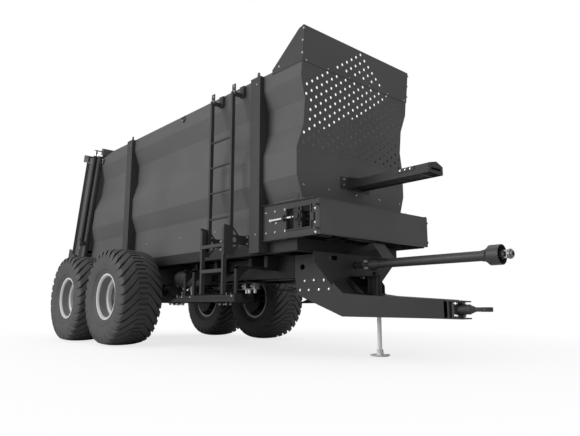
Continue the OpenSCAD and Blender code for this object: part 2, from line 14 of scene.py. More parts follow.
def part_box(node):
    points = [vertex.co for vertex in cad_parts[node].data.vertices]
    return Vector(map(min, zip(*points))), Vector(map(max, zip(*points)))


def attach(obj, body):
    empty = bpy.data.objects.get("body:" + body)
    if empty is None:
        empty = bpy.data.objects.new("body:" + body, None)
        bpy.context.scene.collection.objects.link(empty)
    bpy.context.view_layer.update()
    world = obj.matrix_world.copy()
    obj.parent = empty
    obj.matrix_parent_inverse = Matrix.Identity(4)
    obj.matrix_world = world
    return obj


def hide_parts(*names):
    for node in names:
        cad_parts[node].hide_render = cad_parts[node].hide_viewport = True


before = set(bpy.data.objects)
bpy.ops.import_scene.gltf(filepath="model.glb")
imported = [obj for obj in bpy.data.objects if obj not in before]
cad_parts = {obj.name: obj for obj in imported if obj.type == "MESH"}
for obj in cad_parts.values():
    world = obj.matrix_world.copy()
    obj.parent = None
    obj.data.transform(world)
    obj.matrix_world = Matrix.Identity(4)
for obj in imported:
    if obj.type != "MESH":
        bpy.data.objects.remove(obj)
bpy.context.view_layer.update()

log = logging.getLogger("spreader")

Point = tuple[float, float, float]
Outline = Sequence[tuple[float, float]]
WHEELS = ("front_right", "front_left", "rear_right", "rear_left")


class Side(Enum):
    """The two sides of the machine, by the sign of Y."""

    RIGHT = -1
    LEFT = 1


class Value:
    """A shader socket that takes part in plain arithmetic."""

    def __init__(self, shader: "Shader", socket: bpy.types.NodeSocket) -> None:
        """Keeps the shader that owns the socket.

        Args:
            shader: The material under construction.
            socket: An output socket of one of its nodes.
        """
        self.shader = shader
        self.socket = socket

    def _math(self, operation: str, first: "Value | float", second: "Value | float" = 0.0) -> "Value":
        """Adds one Math node.

        Args:
            operation: The Math node's operation.
            first: Its first operand.
            second: Its second operand.

        Returns:
            The node's result.
        """
        return self.shader.node("ShaderNodeMath", {"operation": operation}, {0: first, 1: second})

    def __add__(self, other: "Value | float") -> "Value":
        """Sum."""
        return self._math("ADD", self, other)

    def __radd__(self, other: float) -> "Value":
        """Sum with a number in front."""
        return self._math("ADD", other, self)

    def __sub__(self, other: "Value | float") -> "Value":
        """Difference."""
        return self._math("SUBTRACT", self, other)

    def __rsub__(self, other: float) -> "Value":
        """Difference from a number."""
        return self._math("SUBTRACT", other, self)

    def __mul__(self, other: "Value | float") -> "Value":
        """Product."""
        return self._math("MULTIPLY", self, other)

    def __rmul__(self, other: float) -> "Value":
        """Product with a number in front."""
        return self._math("MULTIPLY", other, self)

    def above(self, edge: float) -> "Value":
        """One where the value passes an edge, else nought."""
        return self._math("GREATER_THAN", self, edge)


class Shader:
    """One material built from nodes, with a principled surface."""

    def __init__(self, name: str) -> None:
        """Makes the empty material.

        Args:
            name: The material's name.
        """
        self.material = bpy.data.materials.new(name)
        self.material.use_nodes = True
        self.tree = self.material.node_tree
        self.surface = self.tree.nodes["Principled BSDF"]
        self.place = self.node("ShaderNodeTexCoord", output="Object")

    def node(self, kind: str, settings: dict | None = None, values: dict | None = None,
             output: str | int = 0) -> Value:
        """Adds any node.

        Args:
            kind: The node's type.
            settings: Its properties, set before its sockets; a ramp's stops are named stops.
            values: Numbers, colours or links for its input sockets, by name or index.
            output: The output socket that is wanted.

        Returns:
            That output.
        """
        made = self.tree.nodes.new(kind)
        for key, setting in (settings or {}).items():
            if key == "stops":
                ramp = made.color_ramp
                for element, (position, level) in zip(ramp.elements, setting):
                    element.position = position
                    element.color = (level, level, level, 1.0)
            else:
                setattr(made, key, setting)
        for key, value in (values or {}).items():
            self.feed(made.inputs[key], value)
        return Value(self, made.outputs[output])

    def feed(self, socket: bpy.types.NodeSocket, value: object) -> None:
        """Links or sets one input socket.

        Args:
            socket: The input.
            value: A Value to link, or a number or tuple to set.
        """
        if isinstance(value, Value):
            self.tree.links.new(value.socket, socket)
        else:
            socket.default_value = value

    def noise(self, scale: float, detail: float = 3.0, stretch: Point = (1.0, 1.0, 1.0)) -> Value:
        """Noise on the piece's own coordinates.

        Args:
            scale: Features per metre.
            detail: Octaves.
            stretch: Scale of each axis.

        Returns:
            The noise, about 0.5.
        """
        place = self.node("ShaderNodeMapping", values={"Vector": self.place, "Scale": stretch})
        return self.node("ShaderNodeTexNoise", values={"Vector": place, "Scale": scale, "Detail": detail})

    def ramp(self, value: Value, low: float, high: float) -> Value:
        """Spreads a value between two stops to the whole range."""
        return self.node("ShaderNodeValToRGB", {"stops": ((low, 0.0), (high, 1.0))}, {0: value})

    def blend(self, factor: Value, first: Point, second: Point) -> Value:
        """A colour between two, by a factor.

        Args:
            factor: Nought for the first colour, one for the second.
            first: A linear colour.
            second: A linear colour.

        Returns:
            The mixed colour.
        """
        values = {0: factor, 6: (*first, 1.0), 7: (*second, 1.0)}
        return self.node("ShaderNodeMix", {"data_type": "RGBA"}, values, output=2)

    def finish(self, colour: object, roughness: object, metallic: float = 0.0, **sockets: object) -> None:
        """Sets the surface.

        Args:
            colour: A linear colour or a Value.
            roughness: A number or a Value.
            metallic: One on bare metal.
            sockets: Further sockets, with underscores for spaces.
        """
        self.feed(self.surface.inputs["Base Color"], (*colour, 1.0) if isinstance(colour, tuple) else colour)
        self.feed(self.surface.inputs["Roughness"], roughness)
        self.feed(self.surface.inputs["Metallic"], metallic)
        for key, value in sockets.items():
            self.feed(self.surface.inputs[key.replace("_", " ")], value)

    def bump(self, height: Value, depth: float, strength: float = 1.0) -> None:
        """Puts a bump on the surface.

        Args:
            height: The height, from nought to one.
            depth: The depth of a full step in metres.
            strength: Share of the bump.
        """
        values = {"Height": height, "Distance": depth, "Strength": strength}
        self.feed(self.surface.inputs["Normal"], self.node("ShaderNodeBump", values=values, output="Normal"))


@dataclass(frozen=True)
class Paint:
    """Sprayed satin paint: fine orange peel and faint clouding."""

    name: str
    colour: Point
    roughness: float = 0.42
    peel: float = 0.00012
    coat: float = 0.12
    specular: float = 0.5

    def make(self) -> bpy.types.Material:
        """Builds the material."""
        shader = Shader(self.name)
        clouds = shader.noise(1.7, 4.0)
        grain = shader.noise(220.0, 2.0)
        lighter = tuple(min(1.0, c * 1.10 + 0.002) for c in self.colour)
        darker = tuple(c * 0.92 for c in self.colour)
        shader.finish(shader.blend(shader.ramp(clouds, 0.3, 0.7), darker, lighter),
                      self.roughness + (clouds - 0.5) * 0.12 + (grain - 0.5) * 0.05,
                      Coat_Weight=self.coat, Coat_Roughness=0.3, Specular_IOR_Level=self.specular)
        shader.bump(grain, self.peel, 0.5)
        return shader.material


@dataclass(frozen=True)
class Metal:
    """Bare, plated or polished metal, with grain along one axis and dull patches."""

    name: str
    colour: Point
    roughness: float
    grain: Point = (1.0, 1.0, 6.0)
    patches: float = 0.15

    def make(self) -> bpy.types.Material:
        """Builds the material."""
        shader = Shader(self.name)
        patch = shader.noise(14.0, 3.0)
        line = shader.noise(260.0, 2.0, self.grain)
        dull = tuple(c * 0.72 for c in self.colour)
        shader.finish(shader.blend(shader.ramp(patch, 0.35, 0.7), self.colour, dull),
                      self.roughness + (patch - 0.5) * self.patches + (line - 0.5) * 0.08, 1.0)
        shader.bump(line, 0.00006, 0.4)
        return shader.material


@dataclass(frozen=True)
class Casting:
    """Painted casting with the coarse skin of its mould."""

    name: str
    colour: Point
    roughness: float = 0.55

    def make(self) -> bpy.types.Material:
        """Builds the material."""
        shader = Shader(self.name)
        skin = shader.noise(320.0, 4.0)
        tone = shader.noise(9.0, 3.0)
        darker = tuple(c * 0.8 for c in self.colour)
        shader.finish(shader.blend(tone, darker, self.colour), self.roughness + (skin - 0.5) * 0.2)
        shader.bump(skin, 0.0006, 0.7)
        return shader.material


@dataclass(frozen=True)
class Rubber:
    """Tyre rubber: dull, slightly mottled, with a fine skin."""

    name: str
    colour: Point

    def make(self) -> bpy.types.Material:
        """Builds the material."""
        shader = Shader(self.name)
        mottle = shader.noise(6.0, 5.0)
        skin = shader.noise(420.0, 2.0)
        paler = tuple(c * 1.35 for c in self.colour)
        shader.finish(shader.blend(shader.ramp(mottle, 0.35, 0.75), self.colour, paler),
                      0.62 + (mottle - 0.5) * 0.2)
        shader.bump(skin, 0.0003, 0.5)
        return shader.material


@dataclass(frozen=True)
class Moulded:
    """Moulded plastic with a leathery grain."""

    name: str
    colour: Point
    roughness: float = 0.45

    def make(self) -> bpy.types.Material:
        """Builds the material."""
        shader = Shader(self.name)
        cells = shader.node("ShaderNodeTexVoronoi", values={"Vector": shader.place, "Scale": 420.0})
        tone = shader.noise(5.0)
        darker = tuple(c * 0.85 for c in self.colour)
        shader.finish(shader.blend(tone, darker, self.colour), self.roughness + (tone - 0.5) * 0.1)
        shader.bump(cells, 0.0002, 0.5)
        return shader.material


@dataclass(frozen=True)
class Lens:
    """A moulded lamp lens with fine ribs behind a glossy face."""

    name: str
    colour: Point

    def make(self) -> bpy.types.Material:
        """Builds the material."""
        shader = Shader(self.name)
        ribs = shader.node("ShaderNodeTexWave", {"bands_direction": "Y"}, {"Vector": shader.place, "Scale": 60.0})
        darker = tuple(c * 0.55 for c in self.colour)
        shader.finish(shader.blend(ribs, darker, self.colour), 0.12, Coat_Weight=0.6, Coat_Roughness=0.05)
        shader.bump(ribs, 0.0008, 0.4)
        return shader.material


BODY_PAINT = Paint("body_paint", (0.091, 0.091, 0.092), 0.5, coat=0.0, specular=0.2)
POST_PAINT = Paint("post_paint", (0.044, 0.044, 0.045), 0.5, coat=0.0, specular=0.2)
FRAME_PAINT = Paint("frame_paint", (0.046, 0.046, 0.047), 0.5, coat=0.0, specular=0.2)
FLOOR_PAINT = Paint("floor_paint", (0.05, 0.05, 0.05), 0.6)
BLACK_PAINT = Paint("black_paint", (0.016, 0.016, 0.0165), 0.5, coat=0.0, specular=0.25)
CAST_DARK = Casting("cast_dark", (0.045, 0.045, 0.046))
CHAIN_STEEL = Metal("chain_steel", (0.22, 0.215, 0.21), 0.45, (1.0, 6.0, 1.0))
JOINT_STEEL = Metal("joint_steel", (0.30, 0.30, 0.305), 0.38, (1.0, 1.0, 1.0))
GALVANISED = Paint("galvanised", (0.82, 0.83, 0.84), 0.32, 0.0001, 0.3)
BOLT_ZINC = Metal("bolt_zinc", (0.74, 0.74, 0.72), 0.30, (1.0, 1.0, 1.0), 0.2)
CHROME_ROD = Metal("chrome_rod", (0.82, 0.83, 0.84), 0.12, (1.0, 1.0, 8.0), 0.04)
# A darker copy of the rim paint for the barrel and disc inside each rim: painted shade deep in the wheel.
RIM_SHADE_GREY = Paint("rim_painted_shade", (0.17, 0.17, 0.173), 0.4, coat=0.2)
RIM_SILVER = Paint("rim_silver", (0.56, 0.56, 0.57), 0.34, coat=0.3)
TYRE_RUBBER = Rubber("tyre_rubber", (0.044, 0.044, 0.045))
BEATER_STEEL = Paint("beater_steel", (0.045, 0.045, 0.046), 0.5)
GUARD_PLASTIC = Moulded("guard_plastic", (0.05, 0.05, 0.052))
LAMP_RED = Lens("lamp_red", (0.55, 0.012, 0.01))
LAMP_AMBER = Lens("lamp_amber", (0.75, 0.22, 0.01))

NODE_FINISHES = {
    POST_PAINT: ("wall_posts",),
    FRAME_PAINT: ("axle_beams", "leaf_springs", "ladder", "air_tank", "rear_lamps"),
    BLACK_PAINT: ("chassis_rails", "side_sills"),
    FLOOR_PAINT: ("box_floor",),
    CAST_DARK: ("front_gearbox", "driveline"),
    CHAIN_STEEL: ("floor_chains", "chain_shafts"),
}

MM = 0.001
BOGIE_X = sum((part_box(f"tyre_{wheel}")[0].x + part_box(f"tyre_{wheel}")[1].x) / 2 for wheel in WHEELS) / len(WHEELS)
MACHINE = Matrix.Translation((BOGIE_X, 0.0, 0.0)) @ Matrix.Scale(MM, 4)
REAR_LEAN = MACHINE @ Matrix.Translation((-1285.0, 0.0, 2150.0)) @ Matrix.Rotation(math.radians(15.0), 4, "Y")


def at(x: float, y: float, z: float) -> Point:
    """A point in metres from millimetres ahead of the bogie's middle, across and above the ground."""
    return tuple(MACHINE @ Vector((x, y, z)))


class Materials:
    """Makes each finish's material once."""

    def __init__(self) -> None:
        """Starts with none made."""
        self.made: dict[str, bpy.types.Material] = {}

    def get(self, finish: object) -> bpy.types.Material:
        """The material of a finish, made when it is first asked for.

        Args:
            finish: One of the finishes above.

        Returns:
            Its material.
        """
        if finish.name not in self.made:
            self.made[finish.name] = finish.make()
        return self.made[finish.name]

    def dress_frame(self) -> None:
        """Gives every solid of the frame its finish."""
        chosen = {node: finish for finish, nodes in NODE_FINISHES.items() for node in nodes}
        for name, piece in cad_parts.items():
            piece.data.materials.clear()
            piece.data.materials.append(self.get(chosen.get(name, BODY_PAINT)))


MATERIALS = Materials()


class Form:
    """The faces of one piece, gathered shape by shape."""

    def __init__(self) -> None:
        """Starts empty."""
        self.points: list[Vector] = []
        self.faces: list[tuple[int, ...]] = []

    def add(self, points: Sequence[Vector], faces: Sequence[Sequence[int]], place: Matrix = Matrix()) -> None:
        """Adds one shape.

        Args:
            points: Its corners.
            faces: Its faces, by corner.
            place: Where it goes.
        """
        start = len(self.points)
        self.points += [place @ Vector(p) for p in points]
        self.faces += [tuple(start + i for i in face) for face in faces]

    def prism(self, outline: Outline, low: float, high: float, place: Matrix = Matrix()) -> None:
        """Adds an outline in X and Y, raised from low to high in Z.

        Args:
            outline: Its corners, anticlockwise.
            low: Lower face.
            high: Upper face.
            place: Where it goes.
        """
        n = len(outline)
        points = [(x, y, z) for z in (low, high) for x, y in outline]
        sides = [(i, (i + 1) % n, n + (i + 1) % n, n + i) for i in range(n)]
        self.add(points, [tuple(range(n))[::-1], tuple(range(n, 2 * n)), *sides], place)

    def plate(self, size: Point, place: Matrix = Matrix(), edge: float = 0.0015) -> None:
        """Adds a plate with chamfered edges, centred on its place.

        Args:
            size: Its three lengths.
            place: Where its middle goes.
            edge: The chamfer.
        """
        x, y, z = (s / 2 for s in size)
        e = min(edge, x / 2, y / 2, z / 2)
        rings = []
        for level, inset in ((-z, e), (-z + e, 0.0), (z - e, 0.0), (z, e)):
            a, b = x - inset, y - inset
            rings.append([(a - e, -b), (a, -b + e), (a, b - e), (a - e, b), (-a + e, b), (-a, b - e),
                          (-a, -b + e), (-a + e, -b)])
            rings[-1] = [(*p, level) for p in rings[-1]]
        self.skin(rings, place)

    def skin(self, rings: Sequence[Sequence[Point]], place: Matrix = Matrix(), closed: bool = True) -> None:
        """Joins rings of equally many points into a closed skin.

        Args:
            rings: The rings, from the first end to the last, anticlockwise about the way they go.
            place: Where it goes.
            closed: Whether both ends get a face.
        """
        n = len(rings[0])
        faces = [(k * n + i, k * n + (i + 1) % n, (k + 1) * n + (i + 1) % n, (k + 1) * n + i)
                 for k in range(len(rings) - 1) for i in range(n)]
        if closed:
            last = (len(rings) - 1) * n
            faces += [tuple(range(n))[::-1], tuple(last + i for i in range(n))]
        self.add([p for ring in rings for p in ring], faces, place)

    def lathe(self, profile: Outline, place: Matrix = Matrix(), sides: int = 40) -> None:
        """Adds a turned shape about its own Z.

        Args:
            profile: Radius and height along the outside, from the bottom up; its ends are closed.
            place: Where it goes.
            sides: Points round it.
        """
        turns = [2 * math.pi * i / sides for i in range(sides)]
        self.skin([[(r * math.cos(t), r * math.sin(t), z) for t in turns] for r, z in profile], place)

    def pipe(self, path: Sequence[Point], radius: float, sides: int = 10) -> None:
        """Adds a round bar or pipe along a path.

        Args:
            path: Points of its middle line.
            radius: Its radius.
            sides: Points round it.
        """
        line = [Vector(p) for p in path]
        rings = []
        side = Vector((0.0, 0.0, 1.0))
        for i, p in enumerate(line):
            ahead = (line[min(i + 1, len(line) - 1)] - line[max(i - 1, 0)]).normalized()
            across = ahead.cross(side)
            if across.length < 0.1:
                across = ahead.cross(Vector((1.0, 0.0, 0.0)))
            across.normalize()
            side = across.cross(ahead).normalized()
            rings.append([p + radius * (math.cos(t) * across + math.sin(t) * side)
                          for t in (2 * math.pi * k / sides for k in range(sides))])
        self.skin(rings)

    def mesh(self, name: str) -> bpy.types.Mesh:
        """Makes the mesh."""
        mesh = bpy.data.meshes.new(name)
        mesh.from_pydata([tuple(p) for p in self.points], [], self.faces)
        mesh.update()
        return mesh


def keep(mesh: bpy.types.Mesh, name: str, finish: object, body: str,
         smooth: float | None = None) -> bpy.types.Object:
    """Makes a finished piece from a mesh and lets it ride on its body.

    Args:
        mesh: The mesh, in its place.
        name: The piece's name.
        finish: Its finish.
        body: The body that carries it.
        smooth: Angle in degrees up to which neighbouring faces shade as one, or None for flat.

    Returns:
        The piece.
    """
    piece = bpy.data.objects.new(name, mesh)
    bpy.context.scene.collection.objects.link(piece)
    mesh.materials.clear()
    mesh.materials.append(MATERIALS.get(finish))
    if smooth is not None:
        mesh.shade_smooth()
        mesh.set_sharp_from_angle(angle=math.radians(smooth))
    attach(piece, body)
    log.info("%s: %d faces on %s", name, len(mesh.polygons), body)
    return piece


def turned(place: Point, axis: str = "Z", angle: float = 0.0) -> Matrix:
    """A place whose own Z looks along an axis.

    Args:
        place: The origin.
        axis: X, Y, Z or one of these with a minus sign.
        angle: Turn about that axis in degrees, before it is laid over.

    Returns:
        The matrix.
    """
    way = {"X": (1, 0, 0), "Y": (0, 1, 0), "Z": (0, 0, 1)}[axis[-1]]
    way = Vector(way) * (-1 if axis[0] == "-" else 1)
    lay = Vector((0, 0, 1)).rotation_difference(way).to_matrix().to_4x4()
    return Matrix.Translation(place) @ lay @ Matrix.Rotation(math.radians(angle), 4, "Z")


def circle(x: float, y: float, radius: float, sides: int = 24) -> Outline:
    """The outline of a circle."""
    turns = (2 * math.pi * i / sides for i in range(sides))
    return [(x + radius * math.cos(t), y + radius * math.sin(t)) for t in turns]


def rectangle(x0: float, y0: float, x1: float, y1: float) -> Outline:
    """The outline of a rectangle."""
    return [(x0, y0), (x1, y0), (x1, y1), (x0, y1)]


def mirrored(edge: Outline) -> Outline:
    """Closes an outline given by its right-hand edge, from the bottom up, with the edge's mirror image."""
    return [*edge, *((-x, y) for x, y in reversed(edge))]


class Steel(Form):
    """Plate work in millimetres, along the machine, across it and up, with chamfered edges."""

    ORDER = {"X": (2, 0, 1), "Y": (0, 2, 1), "Z": (0, 1, 2)}

    def __init__(self, frame_place: Matrix = MACHINE) -> None:
        """Starts empty.

        Args:
            frame_place: Where the millimetres are measured from.
        """
        super().__init__()
        self.frame_place = frame_place

    def add(self, points: Sequence[Vector], faces: Sequence[Sequence[int]], place: Matrix = Matrix()) -> None:
        """Adds one shape, in millimetres."""
        super().add(points, faces, self.frame_place @ place)

    def block(self, low: Point, high: Point) -> None:
        """Adds a box between two corners."""
        self.prism(rectangle(low[0], low[1], high[0], high[1]), low[2], high[2])

    def slab(self, axis: str, loops: Sequence[Outline], low: float, high: float, place: Matrix = Matrix()) -> None:
        """Adds a plate with holes.

        Args:
            axis: The axis across its thickness.
            loops: Its outline and then its holes, in the other two axes.
            low: Its lower face on that axis.
            high: Its upper face.
            place: Where it goes.
        """
        flat = [[Vector((a, b, 0.0)) for a, b in loop] for loop in loops]
        caps = [tuple(face) for face in tessellate_polygon(flat)]
        spots = [p for loop in loops for p in loop]
        n = len(spots)
        corners = [tuple((a, b, c)[k] for k in self.ORDER[axis]) for c in (low, high) for a, b in spots]
        rims, start = [], 0
        for loop in loops:
            m = len(loop)
            rims += [(start + i, start + (i + 1) % m, n + start + (i + 1) % m, n + start + i) for i in range(m)]
            start += m
        self.add(corners, [*caps, *(tuple(n + i for i in face) for face in caps), *rims], place)

    def rod(self, axis: str, start: Point, length: float, radius: float, end: float | None = None,
            sides: int = 32) -> None:
        """Adds a round bar or a cone.

        Args:
            axis: The way it goes.
            start: The middle of its first end.
            length: Its length.
            radius: Its radius.
            end: The radius at its far end, where it differs.
            sides: Points round it.
        """
        self.lathe([(radius, 0.0), (radius if end is None else end, length)], turned(start, axis), sides)

    def ring(self, axis: str, start: Point, section: Outline, sides: int = 64) -> None:
        """Adds a ring turned from a closed section.

        Args:
            axis: The way its own Z goes.
            start: Its origin.
            section: Radius and height round the section.
            sides: Points round it.
        """
        n = len(section)
        turns = [2 * math.pi * i / sides for i in range(sides)]
        points = [(r * math.cos(t), r * math.sin(t), z) for t in turns for r, z in section]
        faces = [(k * n + i, k * n + (i + 1) % n, (k + 1) % sides * n + (i + 1) % n, (k + 1) % sides * n + i)
                 for k in range(sides) for i in range(n)]
        self.add(points, faces, turned(start, axis))

    def ribbon(self, path: Outline, half: Callable[[float], float], thick: float) -> None:
        """Adds a bent plate across the machine.

        Args:
            path: Its bends, along and up.
            half: Its half width at a place along.
            thick: Its thickness, up from the path.
        """
        self.skin([[(x, -half(x), z), (x, half(x), z), (x, half(x), z + thick), (x, -half(x), z + thick)]
                   for x, z in path])

    def both(self) -> None:
        """Adds the mirror image of all so far on the other side."""
        n = len(self.points)
        self.points += [Vector((p.x, -p.y, p.z)) for p in self.points]
        self.faces += [tuple(n + i for i in reversed(face)) for face in self.faces]

    def done(self, name: str, finish: object, slot: str, body: str = "spreader", replaced: Sequence[str] = (),
             edge: float = 0.0012) -> bpy.types.Object:
        """Makes the piece, with its faces outwards and its edges chamfered.

        Args:
            name: The piece's name.
            finish: Its finish.
            slot: The record's material slot; not used.
            body: The body that carries it.
            replaced: The frame's nodes that it stands for.
            edge: The chamfer in metres.

        Returns:
            The piece.
        """
        mesh = self.mesh(name)
        shape = bmesh.new()
        shape.from_mesh(mesh)
        bmesh.ops.recalc_face_normals(shape, faces=shape.faces)
        if edge:
            sharp = [e for e in shape.edges if len(e.link_faces) == 2 and e.calc_face_angle() > math.radians(50)]
            bmesh.ops.bevel(shape, geom=sharp, offset=edge, segments=1, affect="EDGES", clamp_overlap=True)
        shape.to_mesh(mesh)
        shape.free()
        piece = keep(mesh, name, finish, body, 30)
        if replaced:
            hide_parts(*replaced)
        return piece


class NodeTree:
    """A Geometry Nodes tree, built input by input."""

    def __init__(self, name: str, inputs: dict[str, str]) -> None:
        """Makes the tree with a mesh and a material input.

        Args:
            name: The tree's name.
            inputs: Socket types of the further inputs, by name.
        """
        self.tree = bpy.data.node_groups.new(name, "GeometryNodeTree")
        self.tree.interface.new_socket("Geometry", in_out="INPUT", socket_type="NodeSocketGeometry")
        self.tree.interface.new_socket("Material", in_out="INPUT", socket_type="NodeSocketMaterial")
        for key, kind in inputs.items():
            self.tree.interface.new_socket(key, in_out="INPUT", socket_type=kind)
        self.tree.interface.new_socket("Geometry", in_out="OUTPUT", socket_type="NodeSocketGeometry")
        self.start = self.tree.nodes.new("NodeGroupInput")
        self.end = self.tree.nodes.new("NodeGroupOutput")

    def add(self, kind: str, settings: dict | None = None, **links: object) -> bpy.types.Node:
        """Adds a node.

        Args:
            kind: The node's type.
            settings: Its properties.
            links: Sockets or numbers for its inputs, with underscores for spaces.

        Returns:
            The node.
        """
        made = self.tree.nodes.new(kind)
        for key, setting in (settings or {}).items():
            setattr(made, key, setting)
        for key, value in links.items():
            socket = made.inputs[key.replace("_", " ")]
            if isinstance(value, bpy.types.NodeSocket):
                self.tree.links.new(value, socket)
            else:
                socket.default_value = value
        return made

    def close(self, instances: bpy.types.NodeSocket, merge: float = 0.0) -> None:
        """Ends the tree in realised instances and their material.

        Args:
            instances: The instances.
            merge: Distance at which points join, or nought.
        """
        real = self.add("GeometryNodeRealizeInstances", Geometry=instances).outputs[0]
        if merge:
            real = self.add("GeometryNodeMergeByDistance", Geometry=real, Distance=merge).outputs[0]
        dressed = self.add("GeometryNodeSetMaterial", Geometry=real, Material=self.start.outputs["Material"])
        self.tree.links.new(dressed.outputs[0], self.end.inputs[0])

    def run(self, mesh: bpy.types.Mesh, finish: object, **inputs: object) -> bpy.types.Mesh:
        """Runs the tree on a mesh.

        Args:
            mesh: The mesh it starts from.
            finish: The finish of what it makes.
            inputs: Values of its named inputs, with underscores for spaces.

        Returns:
            The finished plain mesh.
        """
        carrier = bpy.data.objects.new("carrier", mesh)
        bpy.context.scene.collection.objects.link(carrier)
        modifier = carrier.modifiers.new("nodes", "NODES")
        modifier.node_group = self.tree
        given = {key.replace("_", " "): value for key, value in inputs.items()}
        given["Material"] = MATERIALS.get(finish)
        for item in self.tree.interface.items_tree:
            if item.in_out == "INPUT" and item.name in given:
                modifier[item.identifier] = given[item.name]
        seen = carrier.evaluated_get(bpy.context.evaluated_depsgraph_get())
        result = bpy.data.meshes.new_from_object(seen)
        bpy.data.objects.remove(carrier)
        return result


class Bolts:
    """Hexagon bolts on washers, set by Geometry Nodes on points that carry a direction and a size."""

    def __init__(self) -> None:
        """Builds the tree once."""
        self.spots: dict[str, list[tuple[Vector, Vector, float]]] = {}
        tree = NodeTree("hexagon_bolts", {"Head": "NodeSocketFloat"})
        washer = tree.add("GeometryNodeMeshCylinder", Vertices=20, Radius=1.25, Depth=0.3)
        head = tree.add("GeometryNodeMeshCylinder", Vertices=6, Radius=1.0, Depth=0.75)
        crown = tree.add("GeometryNodeMeshCone", Vertices=6, Radius_Top=0.82, Radius_Bottom=1.0, Depth=0.12)
        thread = tree.add("GeometryNodeMeshCylinder", Vertices=12, Radius=0.55, Depth=0.5)
        parts = tree.add("GeometryNodeJoinGeometry")
        for piece, height in ((washer, 0.15), (head, 0.65), (crown, 1.02), (thread, 1.2)):
            raised = tree.add("GeometryNodeTransform", Geometry=piece.outputs[0], Translation=(0, 0, height))
            tree.tree.links.new(raised.outputs[0], parts.inputs[0])
        facing = tree.add("GeometryNodeInputNamedAttribute", {"data_type": "FLOAT_VECTOR"}, Name="facing")
        size = tree.add("GeometryNodeInputNamedAttribute", {"data_type": "FLOAT"}, Name="size")
        turn = tree.add("FunctionNodeAlignRotationToVector", {"axis": "Z"}, Vector=facing.outputs[0])
        scale = tree.add("ShaderNodeMath", {"operation": "MULTIPLY"})
        tree.tree.links.new(size.outputs[0], scale.inputs[0])
        tree.tree.links.new(tree.start.outputs["Head"], scale.inputs[1])
        field_of = tree.add("GeometryNodeInstanceOnPoints", Points=tree.start.outputs[0], Instance=parts.outputs[0],
                            Rotation=turn.outputs[0], Scale=scale.outputs[0])
        tree.close(field_of.outputs[0])
        self.tree = tree

    def put(self, body: str, places: Sequence[Point], facing: Point, size: float = 0.011) -> None:
        """Sets bolts on a body.

        Args:
            body: The body that carries them.
            places: Points on the surface.
            facing: The way their heads look.
            size: Radius over a head's corners.
        """
        self.spots.setdefault(body, []).extend((Vector(p), Vector(facing), size) for p in places)

    def build(self) -> None:
        """Makes one piece of bolts for each body."""
        for body, spots in self.spots.items():
            mesh = bpy.data.meshes.new("bolt_points")
            mesh.from_pydata([tuple(p) for p, _, _ in spots], [], [])
            facing = mesh.attributes.new("facing", "FLOAT_VECTOR", "POINT")
            facing.data.foreach_set("vector", [c for _, way, _ in spots for c in way.normalized()])
            size = mesh.attributes.new("size", "FLOAT", "POINT")
            size.data.foreach_set("value", [s for _, _, s in spots])
            made = self.tree.run(mesh, BOLT_ZINC, Head=1.0)
            keep(made, f"bolts_{body}", BOLT_ZINC, body)


